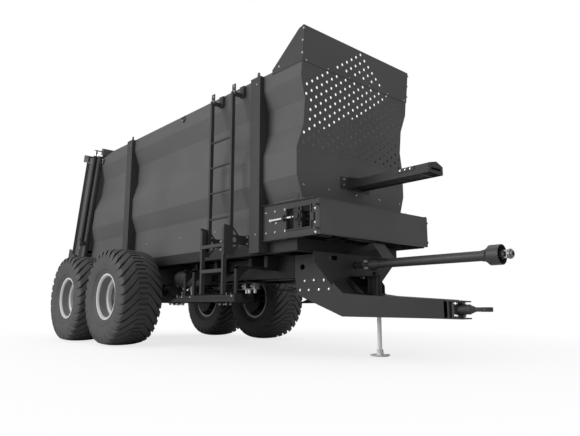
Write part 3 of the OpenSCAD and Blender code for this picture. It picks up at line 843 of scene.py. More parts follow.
@dataclass
class Tyre:
    """A flotation tyre whose tread is one pitch of lugs, repeated round the wheel."""

    outer: float
    width: float
    bead: float
    pitches: int = 30
    groove: float = 0.024
    shoulder_groove: float = 0.036
    flat: float = 0.22
    rise: float = 0.24
    overlap: float = 0.2

    def section(self) -> list[tuple[float, float, float, float]]:
        """The section from bead to bead: radius, place across, groove depth and groove share."""
        half = self.width / 2
        rows = [(self.bead, 0.80, 0.0), (self.bead + 0.018, 0.845, 0.0), (self.bead + 0.026, 0.86, 0.0),
                (self.bead + 0.034, 0.862, 0.0), (self.bead + 0.07, 0.935, 0.0), (self.bead + 0.074, 0.95, 0.0),
                (self.bead + 0.084, 0.952, 0.0), (self.bead + 0.089, 0.945, 0.0),
                (0.405, 0.972, 0.0), (0.44, 0.988, 0.0), (0.47, 0.994, 0.0), (0.492, 0.998, 0.0),
                (0.500, 1.0, 0.35), (0.532, 0.99, 0.75), (0.550, 0.976, 0.95), (0.566, 0.958, 1.0), (0.580, 0.936, 1.0),
                (0.590, 0.91, 1.0)]
        crown = [(0.84, 1.0), (0.74, 0.95), (0.62, 0.85), (0.5, 0.75), (0.38, 0.7), (0.26, 0.65),
                 (0.19, 0.6), (0.1, 0.6)]
        drop = self.outer - 0.592
        out = [(r, y * half, d) for r, y, d in rows]
        out += [(self.outer - drop * (y / 0.91) ** 2.6, y * half, d) for y, d in crown]
        middle = [(self.outer, 0.0, 0.6)]
        return [(r, -y, d) for r, y, d in out] + middle + [(r, y, d) for r, y, d in reversed(out)]

    def mesh(self, name: str, centre: Vector) -> bpy.types.Mesh:
        """Makes the tyre's mesh.

        Args:
            name: The mesh's name.
            centre: The wheel's middle.

        Returns:
            The mesh in its place.
        """
        step = 2 * math.pi / self.pitches
        form = Form()
        rings = self.section()
        half = self.width / 2
        wall = 0.03
        lines = 13
        for r, y, depth in rings:
            share = abs(y) / half
            lead = -max(0.0, share - self.flat) / (1 - self.flat) * self.rise / self.outer
            gap = 0.15 + 0.2 * max(0.0, share - 0.5) * 2
            stops, sunk = [0.0], [0]
            for middle, cut in ((0.25, y <= self.overlap * half), (0.75, y >= -self.overlap * half)):
                stops += [middle - gap / 2 - wall, middle - gap / 2, middle, middle + gap / 2,
                          middle + gap / 2 + wall, middle + 0.25]
                sunk += [0, cut, cut, cut, 0, 0]
            for stop, down in zip(stops, sunk):
                angle = (stop - 0.5) * step + lead
                radius = r - down * depth * (self.groove if share < 0.6 else self.shoulder_groove)
                form.points.append(Vector((radius * math.cos(angle), y, radius * math.sin(angle))))
        for j in range(len(rings) - 1):
            for i in range(lines - 1):
                a = j * lines + i
                form.faces.append((a, a + 1, a + lines + 1, a + lines))
        tree = NodeTree("tyre_pitches", {"Pitches": "NodeSocketInt"})
        line = tree.add("GeometryNodePoints", Count=tree.start.outputs["Pitches"])
        index = tree.add("GeometryNodeInputIndex")
        per = tree.add("ShaderNodeMath", {"operation": "DIVIDE"})
        per.inputs[0].default_value = 2 * math.pi
        tree.tree.links.new(tree.start.outputs["Pitches"], per.inputs[1])
        angle = tree.add("ShaderNodeMath", {"operation": "MULTIPLY"})
        tree.tree.links.new(index.outputs[0], angle.inputs[0])
        tree.tree.links.new(per.outputs[0], angle.inputs[1])
        spin = tree.add("ShaderNodeCombineXYZ", Y=angle.outputs[0])
        euler = tree.add("FunctionNodeEulerToRotation", Euler=spin.outputs[0])
        ring = tree.add("GeometryNodeInstanceOnPoints", Points=line.outputs[0], Instance=tree.start.outputs[0],
                        Rotation=euler.outputs[0])
        tree.close(ring.outputs[0], 0.0004)
        made = tree.run(form.mesh(name), TYRE_RUBBER, Pitches=self.pitches)
        made.transform(Matrix.Translation(centre))
        return made


class Wheels:
    """The four wheels: tyres, deep rims, nuts, hub caps, drums and valves."""

    BARREL = ((272, -229), (298, -229), (298, -226), (288, -222), (288, 222), (296, 226), (296, 227), (262, 200),
              (256, 120), (248, 104), (248, -120))
    LIP = ((262, 204), (267, 220), (276, 230), (298, 230), (299, 227), (290, 222), (274, 214))
    STEP = ((213, 84), (213, 56), (222, 56), (225, 90), (233, 100), (253, 104), (253, 112), (230, 110), (217, 100))
    DISC = ((215, 58), (212, 40), (204, -2), (198, -8), (152, 6), (148, 26), (100, 30), (96, 60), (46, 60), (46, -60),
            (140, -60), (144, -14), (200, -24), (209, 20), (210, 58))
    STUD_CIRCLE = 172.0
    STUDS = 10

    def build(self, bolts: Bolts) -> None:
        """Dresses every wheel.

        Args:
            bolts: Where the wheel nuts are set.
        """
        for wheel in WHEELS:
            side = Side.LEFT if "left" in wheel else Side.RIGHT
            body = f"wheel_{wheel}"
            low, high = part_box(f"tyre_{wheel}")
            centre = (low + high) / 2
            tyre = Tyre((high.z - low.z) / 2, high.y - low.y, 0.288)
            piece = keep(tyre.mesh(f"tread_{wheel}", centre), f"tread_{wheel}", TYRE_RUBBER, body,
                         35)
            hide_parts(f"tyre_{wheel}")
            out = "Y" if side is Side.LEFT else "-Y"
            hub = tuple(MACHINE.inverted() @ centre)
            rim = Steel()
            rim.ring(out, hub, self.LIP, 96)
            rim.ring(out, hub, [(radius, -place) for radius, place in reversed(self.LIP)], 96)
            rim.ring(out, hub, self.STEP, 96)
            rim.done(f"rim_lips_{wheel}", RIM_SILVER, "rim_silver", body, (f"rim_{wheel}",), 0.0)
            # The barrel and disc take the darker rim paint as painted shade inside the rim, while the lips and step
            # stay silver.
            disc = Steel()
            disc.ring(out, hub, self.BARREL, 96)
            disc.ring(out, hub, self.DISC, 96)
            disc.done(f"disc_{wheel}", RIM_SHADE_GREY, "rim_silver", body, (), 0.0)
            cap = Steel()
            place = turned(hub, out)
            cap.lathe([(88, 40), (88, 82), (82, 90), (56, 94), (52, 116), (44, 122)], place, 40)
            cap.ring(out, hub, [(180, -150), (196, -146), (196, -30), (160, -20), (60, -20), (60, -60), (170, -60)], 64)
            cap.done(f"hub_{wheel}", CAST_DARK, "cast_dark", body, (), 0.0)
            for k in range(self.STUDS):
                turn = 2 * math.pi * (k + 0.5) / self.STUDS
                spot = place @ Vector((self.STUD_CIRCLE * math.cos(turn), self.STUD_CIRCLE * math.sin(turn), 2.0))
                bolts.put(body, [tuple(MACHINE @ spot)], (0, side.value, 0), 0.017)
            valve = Steel()
            valve.rod(out, tuple(place @ Vector((0, 226, 104))), 52, 5, 4, 12)
            valve.done(f"valve_{wheel}", BOLT_ZINC, "galvanised", body, (), 0.0)


class Neck:
    """The drawbar with its neck, the hitch, the jack and the guard over the shaft's joint."""

    REAR, REAR_HALF, SLOPE = 3216.0, 470.0, 370.0 / 1724.0
    FACE = 3660.0
    TIP = 4940.0
    SIDE_END = 4794.0
    JACK = 3963.0
    NECK_BOLTS = ((3343, 755), (3454, 762), (3574, 759), (3286, 662), (3392, 660), (3513, 663), (3632, 666))

    def half(self, x: float) -> float:
        """Half the drawbar's width at a place along."""
        return self.REAR_HALF - (x - self.REAR) * self.SLOPE

    def inside(self, x: float) -> float:
        """Half the width between the side plates."""
        return self.half(x) - 12.0

    def strip(self, form: Steel, rear: Outline, front: Outline, thick: float) -> None:
        """Adds a bent strip between the side plates, open where the jack's tube passes.

        Args:
            form: The piece it joins.
            rear: Its bends up to the opening.
            front: Its bends from the opening on.
            thick: Its thickness, up from the bends.
        """
        form.ribbon(rear, self.inside, thick)
        form.ribbon(front, self.inside, thick)
        for side in (-1, 1):
            rings = []
            for x, z in (rear[-1], front[0]):
                low, high = sorted((side * 36.0, side * self.inside(x)))
                rings.append([(x, low, z), (x, high, z), (x, high, z + thick), (x, low, z + thick)])
            form.skin(rings)

    def bar(self, bolts: Bolts) -> None:
        """Side plates, strips above and below, and the plate across the front of the chassis."""
        form = Steel()
        angle = math.atan(self.SLOPE)
        end = (self.SIDE_END - self.REAR) / math.cos(angle)
        outline = [(0, 1035), (0, 800), (30, 612), (575, 390), (end, 381), (end, 549), (780, 600), (587, 623),
                   (497, 704), (454, 760), (454, 1035)]
        place = Matrix.Translation((self.REAR, self.REAR_HALF, 0)) @ Matrix.Rotation(-angle, 4, "Z")
        form.slab("Y", [outline, circle(98, 904, 30)], -12, 0, place)
        form.both()
        self.strip(form, [(3660, 760), (3702, 704), (3790, 623), (3925, 606.6)], [(4001, 598.5), (self.TIP, 536)], -12)
        self.strip(form, [(3276, 605), (3780, 397), (3925, 394.4)], [(4001, 393), (self.TIP, 376)], 12)
        form.slab("X", [rectangle(-112, 381, 112, 540)], 4816, 4834)
        edge = [(375, 640), (375, 706), (448, 772), (632, 938), (632, 1035)]
        slots = [rectangle(290, 960, 440, 1005), rectangle(-440, 960, -290, 1005)]
        form.slab("X", [mirrored(edge), circle(0, 923, 40), *slots], self.FACE, self.FACE + 8)
        form.ribbon([(3668, 1036), (3976, 1129), (4111, 961)], lambda x: 100.0, 6)
        form.done("neck", FRAME_PAINT, "body_paint", replaced=("neck_plates",))
        for side in Side:
            facing = (math.sin(angle), side.value * math.cos(angle), 0)
            places = [at(x, side.value * self.half(x), z) for x, z in self.NECK_BOLTS]
            bolts.put("spreader", places, facing, 0.009)

    def bracket(self, bolts: Bolts) -> None:
        """The box behind the jack, whose black paint stands in for the shade in and on it, and the jack's tube."""
        form = Steel()
        form.block((3695, -150, 712), (3703, 150, 792))
        form.slab("Z", [[(3695, -150), (3865, -150), (3995, -31), (3995, 31), (3865, 150), (3695, 150)]], 792, 800)
        form.block((3857, -150, 765), (3865, 150, 792))
        form.slab("Y", [[(3703, 785), (3703, 712), (3790, 634), (3900, 620)]], -150, -142)
        form.slab("Y", [[(3703, 792), (3703, 712), (3790, 634), (3930, 614), (3930, 700), (3865, 792)]], 142, 150)
        form.block((3825, 80, 800), (3865, 140, 850))
        form.slab("X", [rectangle(-90, 620, 90, 792)], 3900, 3906)
        # Black paint on this box is painted shade: it stands for the shadow inside the open box and on its side plates.
        form.done("jack_bracket", BLACK_PAINT, "body_paint")
        tube = Steel()
        tube.ring("Z", (self.JACK, 0, 0), [(31, 384), (31, 800), (27, 800), (27, 384)], 48)
        tube.rod("Z", (self.JACK, 0, 796), 12, 29)
        tube.ring("Z", (self.JACK, 0, 0), [(38, 600), (38, 612), (30, 612), (30, 600)], 48)
        tube.done("jack_tube", BLACK_PAINT, "body_paint", replaced=("jack_housing",))
        bolts.put("spreader", [at(3866, y, 779) for y in (-110, 110)], (1, 0, 0), 0.008)

    def jack(self) -> None:
        """The jack's bright leg and its dished foot."""
        leg = Steel()
        leg.rod("Z", (self.JACK, 0, 10), 450, 22, sides=48)
        leg.ring("Z", (self.JACK, 0, 0), [(2, 0), (86, 0), (104, 14), (101, 17), (84, 5), (2, 5)], 64)
        for y in (-30, 22):
            leg.slab("Y", [[(-26, 4), (26, 4), (18, 62), (8, 70), (-8, 70), (-18, 62)]], y, y + 8,
                     Matrix.Translation((self.JACK, 0, 0)))
        leg.rod("Y", (self.JACK, -40, 52), 80, 7, sides=16)
        leg.done("jack_leg_round", GALVANISED, "galvanised", "jack", ("jack_leg",), 0.0006)

    def hitch(self, bolts: Bolts) -> None:
        """The flanged tow eye, round its own bore."""
        z, eye = 462.0, 5133.0
        form = Steel()
        form.slab("X", [rectangle(-86, z - 74, 86, z + 76)], 4842.3, 4870)
        form.rod("X", (4870, 0, z), 86, 53, 43, 48)
        form.rod("X", (4957, 0, z), 24, 45, sides=6)
        form.rod("X", (4981, 0, z), 50, 40, 20, 48)
        form.rod("X", (5030, 0, z), 66, 19, sides=32)
        form.ring("Z", (eye, 0, z), [(50, -16), (50, 16), (44, 20), (29, 20), (25.5, 16), (25.5, -16), (29, -20),
                                     (44, -20)], 64)
        form.done("hitch", CAST_DARK, "cast_dark", replaced=("tow_eye",))
        bolts.put("spreader", [at(4870, y, z + dz) for y in (-68, 68) for dz in (-54, 53)], (1, 0, 0), 0.016)

    def build(self, bolts: Bolts) -> None:
        """Makes all of them."""
        self.bar(bolts)
        self.bracket(bolts)
        self.jack()
        self.hitch(bolts)


class Shaft:
    """The drive shaft: two universal joints and a guard tube with its bells."""

    AXIS_Z = 923.0
    EAR = 24.0

    def yoke(self, form: Steel, base: float, joint: float, turn: float, bore: float = 0.0) -> None:
        """Adds a forked end.

        Args:
            form: The piece it joins.
            base: Its closed end.
            joint: The cross's place.
            turn: Turn about the shaft in degrees.
            bore: Radius of a bore through the closed end, or nought.
        """
        way = 1 if joint > base else -1
        reach = abs(joint - base)
        place = Matrix.Translation((base, 0, self.AXIS_Z)) @ Matrix.Rotation(math.radians(turn), 4, "X")
        place = place @ Matrix.Diagonal((way, 1, 1, 1))
        tip = [(reach + self.EAR * math.sin(t), self.EAR * math.cos(t)) for t in
               (math.pi * k / 10 for k in range(11))]
        for y in (-34, 22):
            form.slab("Y", [[(reach * 0.45, self.EAR + 2), *tip, (reach * 0.45, -self.EAR - 2)]], y, y + 12, place)
        form.slab("X", [rectangle(-34, -26, 34, 26)], reach * 0.42, reach * 0.52, place)
        if bore:
            form.ring("X" if way > 0 else "-X", (base, 0, self.AXIS_Z),
                      [(bore, 0), (30, 0), (32, 3), (32, reach * 0.45), (bore, reach * 0.45)], 48)
        else:
            form.rod("X" if way > 0 else "-X", (base, 0, self.AXIS_Z), reach * 0.45, 32, sides=48)

    def cross(self, form: Steel, x: float) -> None:
        """Adds the cross with its bearing caps."""
        form.rod("Y", (x, -37, self.AXIS_Z), 74, 13)
        form.rod("Z", (x, 0, self.AXIS_Z - 37), 74, 13)

    def build(self) -> None:
        """Makes the shaft."""
        form = Steel()
        form.rod("X", (3667, 0, self.AXIS_Z), 20, 34)
        self.yoke(form, 3683, 3738, 0)
        self.cross(form, 3738)
        self.yoke(form, 3793, 3738, 90)
        form.rod("X", (3790, 0, self.AXIS_Z), 10, 48, sides=48)
        form.rod("X", (3790, 0, self.AXIS_Z), 200, 24)
        form.rod("X", (5175, 0, self.AXIS_Z), 40, 32)
        self.yoke(form, 5205, 5300, 0)
        self.cross(form, 5300)
        self.yoke(form, 5395, 5300, 90, 17.5)
        form.ring("X", (5360, 0, self.AXIS_Z), [(17.5, 0), (41, 0), (43, 4), (43, 18), (41, 22), (17.5, 22)], 48)
        form.done("shaft_joints", JOINT_STEEL, "galvanised", replaced=("pto_joints",))
        guard = Steel()
        guard.ring("X", (3880, 0, self.AXIS_Z), [(62, 0), (66, 4), (66, 56), (60, 70), (46, 112), (42, 112),
                                                 (56, 70), (61, 54), (61, 0)])
        guard.rod("X", (3985, 0, self.AXIS_Z), 1180, 46, sides=48)
        for x in (4040, 5120):
            guard.ring("X", (x, 0, self.AXIS_Z), [(45, 0), (51, 3), (51, 37), (45, 40)])
        guard.ring("X", (5158, 0, self.AXIS_Z), [(44, 0), (60, 2), (63, 12), (84, 34), (88, 40), (88, 142),
                                                 (82, 142), (82, 42), (58, 18), (44, 14)])
        guard.done("shaft_guard", GUARD_PLASTIC, "guard_plastic", replaced=("pto_guard",), edge=0.0)


class FrontBox:
    """The box round the front chain shaft: folded plates, slides, bearings and their screws."""

    REAR, FRONT = 3159.0, 3945.0
    OUTER = 868.0
    WINDOW = (3535.0, 1237.0, 3877.0, 1443.0)
    SHAFT = (3716.0, 1354.0)
    BOLTS = ((3213, 1445), (3355, 1445), (3509, 1445), (3373, 1322), (3215, 1233), (3357, 1231), (3510, 1231),
             (3937, 1402), (3936, 1269), (3940, 1177))

    def plates(self, bolts: Bolts) -> None:
        """The side plates with their lips and window frames."""
        x0, z0, x1, z1 = self.WINDOW
        window = rectangle(*self.WINDOW)
        y = self.OUTER
        form = Steel()
        outline = [(self.REAR, 1150), (self.FRONT, 1150), (self.FRONT, 1500), (3800, 1500), (3790, 1528),
                   (self.REAR, 1528)]
        form.slab("Y", [outline, window], y - 8, y)
        form.block((self.REAR - 50, y, 1150), (self.FRONT - 17, y + 22, 1156))
        form.slab("Y", [[(self.REAR - 50, 1522), (3972, 1502), (3972, 1508), (self.REAR - 50, 1528)]], y, y + 22)
        form.slab("Y", [rectangle(x0 - 13, z0 - 13, x1 + 13, z1 + 13), window], y, y + 12)
        form.block((self.REAR, 797, 1150), (3500, y - 8, 1158))
        form.block((self.FRONT - 8, y - 90, 1170), (self.FRONT, y - 8, 1480))
        form.block((3890, y - 8, 1290), (3923, y + 14, 1370))
        form.slab("Y", [[(3675, 1528), (3710, 1528), (3706, 1588), (3690, 1560)]], y - 6, y + 2)
        form.both()
        form.block((3679, 8 - y, 1494), (self.FRONT, y - 8, 1500))
        form.done("front_box_plates", FRAME_PAINT, "body_paint", replaced=("front_box",))
        for side in Side:
            bolts.put("spreader", [at(x, side.value * y, z) for x, z in self.BOLTS], (0, side.value, 0), 0.008)

    def tensioners(self) -> None:
        """Bearings on their slides, with the draw bolts."""
        x0, z0, x1, z1 = self.WINDOW
        x, z = self.SHAFT
        y = self.OUTER
        form = Steel()
        form.slab("Y", [rectangle(x - 36, z0 + 1, x + 48, z1 - 1)], y - 8, y + 14)
        form.slab("Y", [rectangle(x - 79, z0 + 1, x - 38, z1 - 1)], y - 8, y + 5)
        form.slab("Y", [rectangle(x1 - 16, z0 + 1, x1 - 1, z1 - 1)], y - 8, y + 3)
        form.slab("Y", [circle(x, z, 66, 8)], y - 48, y + 26)
        form.rod("Y", (x, y + 26, z), 10, 50, 44, 40)
        form.rod("Y", (x, y + 36, z), 12, 30, 30, 32)
        form.block((3500, y, z - 30), (3518, y + 34, z + 30))
        form.block((x - 96, y, z - 22), (x - 79, y + 30, z + 22))
        for zz in (1268, 1430):
            form.rod("Y", (x, y + 14, zz), 12, 14, sides=6)
        for k in range(4):
            turn = math.pi / 4 + k * math.pi / 2
            form.rod("Y", (x + 52 * math.cos(turn), y + 26, z + 52 * math.sin(turn)), 8, 9, sides=6)
        for nut in (3482, 3520, 3544):
            form.rod("X", (nut, y + 18, z), 15, 16, sides=6)
        form.both()
        form.done("chain_bearings", BLACK_PAINT, "chain_steel", replaced=("chain_tensioners",))
        for side in Side:
            screw = Steel()
            way = side.value * (y + 18)
            screw.rod("X", (3312, way, z), 340, 9, sides=20)
            screw.rod("X", (3296, way, z), 16, 17, sides=6)
            for k in range(40):
                screw.ring("X", (3330 + 4.4 * k, way, z), [(8.6, 0), (9.9, 1.4), (9.9, 1.8), (8.6, 3.2)], 16)
            screw.done(f"draw_bolt_{side.name.lower()}", GALVANISED, "galvanised", edge=0.0)

    def cover(self, bolts: Bolts) -> None:
        """Lips and hooks of the hinged front cover."""
        form = Steel()
        form.block((3944, -850, 1486), (3994, 850, 1496))
        form.block((3960, -868, 1156), (3996, 868, 1162))
        for y in (-600, -200, 200, 600):
            form.block((3950, y, 1160), (3975, y + 8, 1210))
        form.done("cover_lips", BODY_PAINT, "body_paint")
        for side in Side:
            hooks = Steel()
            low, high = sorted((side.value * 864.0, side.value * 870.0))
            hooks.block((3952, low, 1165), (3993, high, 1497))
            for z in (1210, 1436):
                hooks.rod("Y" if side is Side.LEFT else "-Y", (3966, side.value * 866, z), 40, 8, sides=20)
                hooks.rod("Y" if side is Side.LEFT else "-Y", (3966, side.value * 896, z), 10, 15, sides=6)
            hooks.done(f"cover_hooks_{side.name.lower()}", FRAME_PAINT, "frame_paint", edge=0.0)

    def build(self, bolts: Bolts) -> None:
        """Makes all of them."""
        self.plates(bolts)
        self.tensioners()
        self.cover(bolts)


class Headboard:
    """The perforated headboard between the folded walls, its guard and the hose arm."""

    FOLDS = ((1158, 1), (1560, 1), (1780, 0), (2060, 0), (2310, 1), (2567, 1), (2790, 0), (2968, 0))
    OUTER, DEPTH = 870.0, 73.0
    FACE, FOLD_Z, TOP, LEAN = 3674.0, 2050.0, 2968.0, math.radians(5.3)
    COLUMN, ROW, HOLE = 71.0, 100.0, 15.0

    def edge_at(self, z: float) -> float:
        """The wall's distance from the middle at a height."""
        for (z0, a), (z1, b) in zip(self.FOLDS, self.FOLDS[1:]):
            if z <= z1:
                return self.OUTER - self.DEPTH * (a + (b - a) * (z - z0) / (z1 - z0))
        return self.OUTER

    def edge(self, z0: float, z1: float) -> Outline:
        """The wall's outline between two heights."""
        between = [(self.edge_at(z), z) for z, _ in self.FOLDS if z0 < z < z1]
        return [(self.edge_at(z0), z0), *between, (self.edge_at(z1), z1)]

    def leaning(self, form: Steel, x: float, edge: Outline) -> None:
        """Adds a leaning sheet with the pointed field of holes.

        Args:
            form: The piece it joins.
            x: Where its foot stands.
            edge: Its right-hand edge from the bottom up: half width and height.
        """
        k = 1 / math.cos(self.LEAN)
        low, high = edge[0][1], edge[-1][1]
        holes = []
        for column in range(-11, 12):
            z = 3275.0 - abs(column) * self.ROW / 2
            while z > 2120.0:
                if low + 30 < z < high - 30 and abs(column) * self.COLUMN + 30 < self.edge_at(min(z, self.TOP)):
                    holes.append(circle(column * self.COLUMN, (z - low) * k, self.HOLE, 20))
                z -= self.ROW
        place = Matrix.Translation((x, 0, low)) @ Matrix.Rotation(self.LEAN, 4, "Y")
        form.slab("X", [mirrored([(y, (z - low) * k) for y, z in edge]), *holes], 0, 5, place)

    def sheets(self, bolts: Bolts) -> None:
        """The headboard's panels and the guard above it."""
        board = Steel()
        board.slab("X", [mirrored(self.edge(1531, self.FOLD_Z))], self.FACE, self.FACE + 5)
        self.leaning(board, self.FACE, self.edge(self.FOLD_Z, self.TOP))
        board.done("headboard_sheets", BODY_PAINT, "body_paint", replaced=("headboard",), edge=0.0005)
        guard = Steel()
        foot, half = self.TOP - 22, self.OUTER + 5.3
        top = self.TOP + 350
        x = self.FACE + (foot - self.FOLD_Z) * math.tan(self.LEAN) + 5.4
        x_top = x + (top - foot) * math.tan(self.LEAN)
        self.leaning(guard, x, [(half, foot), (half, top)])
        wing = [(x, foot), (x_top, top), (x_top - 70, top - 12), (x - 460, self.TOP + 22), (x - 460, self.TOP - 30),
                (x - 40, self.TOP - 30)]
        guard.ribbon([(x_top - 22, top - 4), (x_top, top)], lambda _: half, 4)
        guard.done("guard_sheets", BODY_PAINT, "body_paint", replaced=("front_guard",), edge=0.0005)
        wings = Steel()
        wings.slab("Y", [wing], half - 5, half)
        wings.both()
        wings.done("guard_wings", FRAME_PAINT, "body_paint", replaced=("front_guard",), edge=0.0005)
        bolts.put("spreader", [at(3679, y, 1685) for y in (-780, -412, 11, 406, 780)], (1, 0, 0), 0.008)
        for side in Side:
            bolts.put("spreader", [at(px, side.value * half, z) for px, z in ((3800, 3277), (3784, 3152),
                                                                             (3776, 3020), (3420, 2990))],
                      (0, side.value, 0), 0.008)
        lean = (math.cos(self.LEAN), 0, -math.sin(self.LEAN))
        bolts.put("spreader", [at(x + 7, y, foot + 14) for y in (-820, -500, -170, 170, 500, 820)], lean, 0.007)

    def arm(self, bolts: Bolts) -> None:
        """The channel that carries the hoses to the tractor."""
        x0, x1, z = self.FACE + 5, 4690.0, 1738.0
        form = Steel()
        form.slab("X", [rectangle(-236, 1730, 236, 1862)], x0, x0 + 8)
        form.slab("X", [[(-120, z), (-120, z + 90), (120, z + 90), (120, z), (114, z), (114, z + 84),
                         (-114, z + 84), (-114, z)]], x0 + 8, x1)
        slot = rectangle(-78, z + 32, 84, z + 56)
        form.slab("X", [[(-120, z), (120, z), (120, z + 84), (14, z + 122), (-120, z + 92)], slot], x1, x1 + 6)
        for x in (x1 - 400, x1 - 120):
            form.block((x, -114, z), (x + 26, 114, z + 8))
        form.block((4330, -126, z + 46), (4540, -120, z + 88))
        for side in (-1, 1):
            form.slab("Y", [[(x0 + 8, z + 90), (x0 + 8, z + 130), (x0 + 150, z + 90)]], side * 118 - 4, side * 118 + 4)
        form.done("hose_channel", FRAME_PAINT, "body_paint", replaced=("hose_arm",))
        bolts.put("spreader", [at(x, -126, z + 67) for x in (4374, 4433, 4492)], (0, -1, 0), 0.008)
        bolts.put("spreader", [at(x0 + 8, y, zz) for y in (-188, 188) for zz in (1770, 1831)], (1, 0, 0), 0.008)
        hoses = Form()
        for k, y in enumerate((-70, -35, 0, 35, 70)):
            path = [at(x0 + 40 + 90 * i, y + 6 * math.sin(i + k), z + 8 + 12 + 3 * math.sin(1.7 * i + k))
                    for i in range(11)]
            hoses.pipe(path, 0.011, 12)
        keep(hoses.mesh("hoses"), "hoses", GUARD_PLASTIC, "spreader", 40)

    def build(self, bolts: Bolts) -> None:
        """Makes all of them."""
        self.sheets(bolts)
        self.arm(bolts)


class SideGear:
    """Fittings along the side walls: posts, ladder and guard rails."""

    LADDER = 2566.0
    WALL, STEP = 870.0, 1105.0

    def posts(self, bolts: Bolts) -> None:
        """Eyes and small fittings along the walls' top edge, and the screws below."""
        eye = [(-20, 0), (20, 0), (20, 36), *((20 * math.cos(t), 36 + 20 * math.sin(t)) for t in
                                             (math.pi * k / 8 for k in range(1, 8))), (-20, 36)]
        form = Steel()
        for x, z in ((85, 2966), (3107, 2966)):
            form.slab("Y", [eye, circle(0, 34, 10, 16)], 896, 906, Matrix.Translation((x, 0, z)))
        form.slab("Y", [[(1455, 2962), *((1497 + 42 * math.cos(t), 2925 - 42 * math.sin(t)) for t in
                                         (math.pi * k / 10 for k in range(11))), (1539, 2962)][::-1]], 870, 880)
        form.slab("Y", [circle(1497, 2900, 16, 20)], 880, 890)
        form.both()
        form.done("wall_fittings", FRAME_PAINT, "body_paint")
        for side in Side:
            face = (0, side.value, 0)
            bolts.put("spreader", [at(x, side.value * 797, 1365) for x in (-560, 456, 1396, 2180)], face, 0.008)
            bolts.put("spreader", [at(1497, side.value * 890, 2900)], face, 0.009)
            bolts.put("spreader", [at(x, side.value * 919, z) for x in (60, 3100) for z in (1230, 2880)], face, 0.007)

    def brackets(self, bolts: Bolts) -> None:
        """Open brackets that carry the ladder's lower half."""
        form = Steel()
        outer, rib, wall = 1105.0, 990.0, 797.0
        outline = [(wall, 1252), (rib - 82, 1252), (rib, 1345), (outer, 1360), (outer, 1030), (rib, 1040),
                   (rib - 82, 1148), (wall, 1148)]
        upper = [(rib - 58, 1254), (rib + 6, 1254), (rib + 6, 1324)]
        lower = [(rib - 58, 1146), (rib + 6, 1066), (rib + 6, 1146)]
        for x in (self.LADDER - 230, self.LADDER + 220):
            form.slab("X", [[(-a, z) for a, z in outline], circle(-(rib - 22), 1200, 28),
                            [(-a, z) for a, z in upper], [(-a, z) for a, z in lower]], x, x + 10)
            form.block((x - 26, -wall - 9, 1140), (x + 36, -wall, 1260))
            form.block((x - 4, -rib - 10, 1030), (x + 14, -rib, 1345))
        form.done("ladder_bracket_plates", FRAME_PAINT, "frame_paint", replaced=("ladder_brackets",))
        for x in (self.LADDER - 240, self.LADDER - 205, self.LADDER + 206, self.LADDER + 244):
            bolts.put("spreader", [at(x, -wall - 9, z) for z in (1165, 1235)], (0, -1, 0), 0.009)

    def ladder(self, bolts: Bolts) -> None:
        """Plates by which the ladder hangs on the wall, and grips on its rungs."""
        form = Steel()
        for x in (self.LADDER - 205, self.LADDER + 205):
            form.block((x - 12, -1008, 2836), (x + 50, -998, 2960))
            form.block((x - 15, -900, 2830), (x + 62, -876, 2960))
            form.block((x - 24, -1024, 1100), (x - 15, -980, 1340))
        for z in (1460, 1760, 2060, 2360):
            for side in (-1, 1):
                form.rod("X", (self.LADDER - 190 if side < 0 else self.LADDER + 178, -1000, z), 12, 18, sides=20)
        form.done("ladder_fittings", FRAME_PAINT, "frame_paint")
        for x in (self.LADDER - 175, self.LADDER + 237):
            bolts.put("spreader", [at(x, -1008, z) for z in (2870, 2930)], (0, -1, 0), 0.009)
        bolts.put("spreader", [at(self.LADDER + 205, -1123, z) for z in (1084, 1171)], (0, -1, 0), 0.009)

    def guards(self, bolts: Bolts) -> None:
        """Slim guard rails with their hangers below each side."""
        y, low, high, rear, front = 1075.0, 540.0, 612.0, 1640.0, 2960.0
        form = Steel()
        form.slab("Y", [[(rear, low), (front, low), (front, high), (rear + 240, high)],
                        rectangle(rear + 250, low + 34, front - 90, low + 42)], y, y + 4)
        form.slab("Y", [[(rear, low), (front, low), (front, high), (rear + 240, high)]], y - 34, y)
        form.block((front + 6, y - 90, low - 8), (front + 14, y + 12, high + 10))
        for x in (rear + 260, rear + 450, front - 60):
            form.block((x, y - 60, low), (x + 40, y - 34, 905))
            form.block((x, 470, 880), (x + 40, y - 34, 912))
            form.slab("X", [[(y - 200, 882), (y - 60, 882), (y - 60, 760)]], x + 16, x + 24)
        form.both()
        form.done("guard_rails", BLACK_PAINT, "frame_paint", replaced=("side_guards",))
        for side in Side:
            bolts.put("spreader", [at(x, side.value * (y + 4), low + 56) for x in (rear + 300, rear + 480, front - 40)],
                      (0, side.value, 0), 0.008)

    def build(self, bolts: Bolts) -> None:
        """Makes all of them."""
        self.posts(bolts)
        self.brackets(bolts)
        self.ladder(bolts)
        self.guards(bolts)


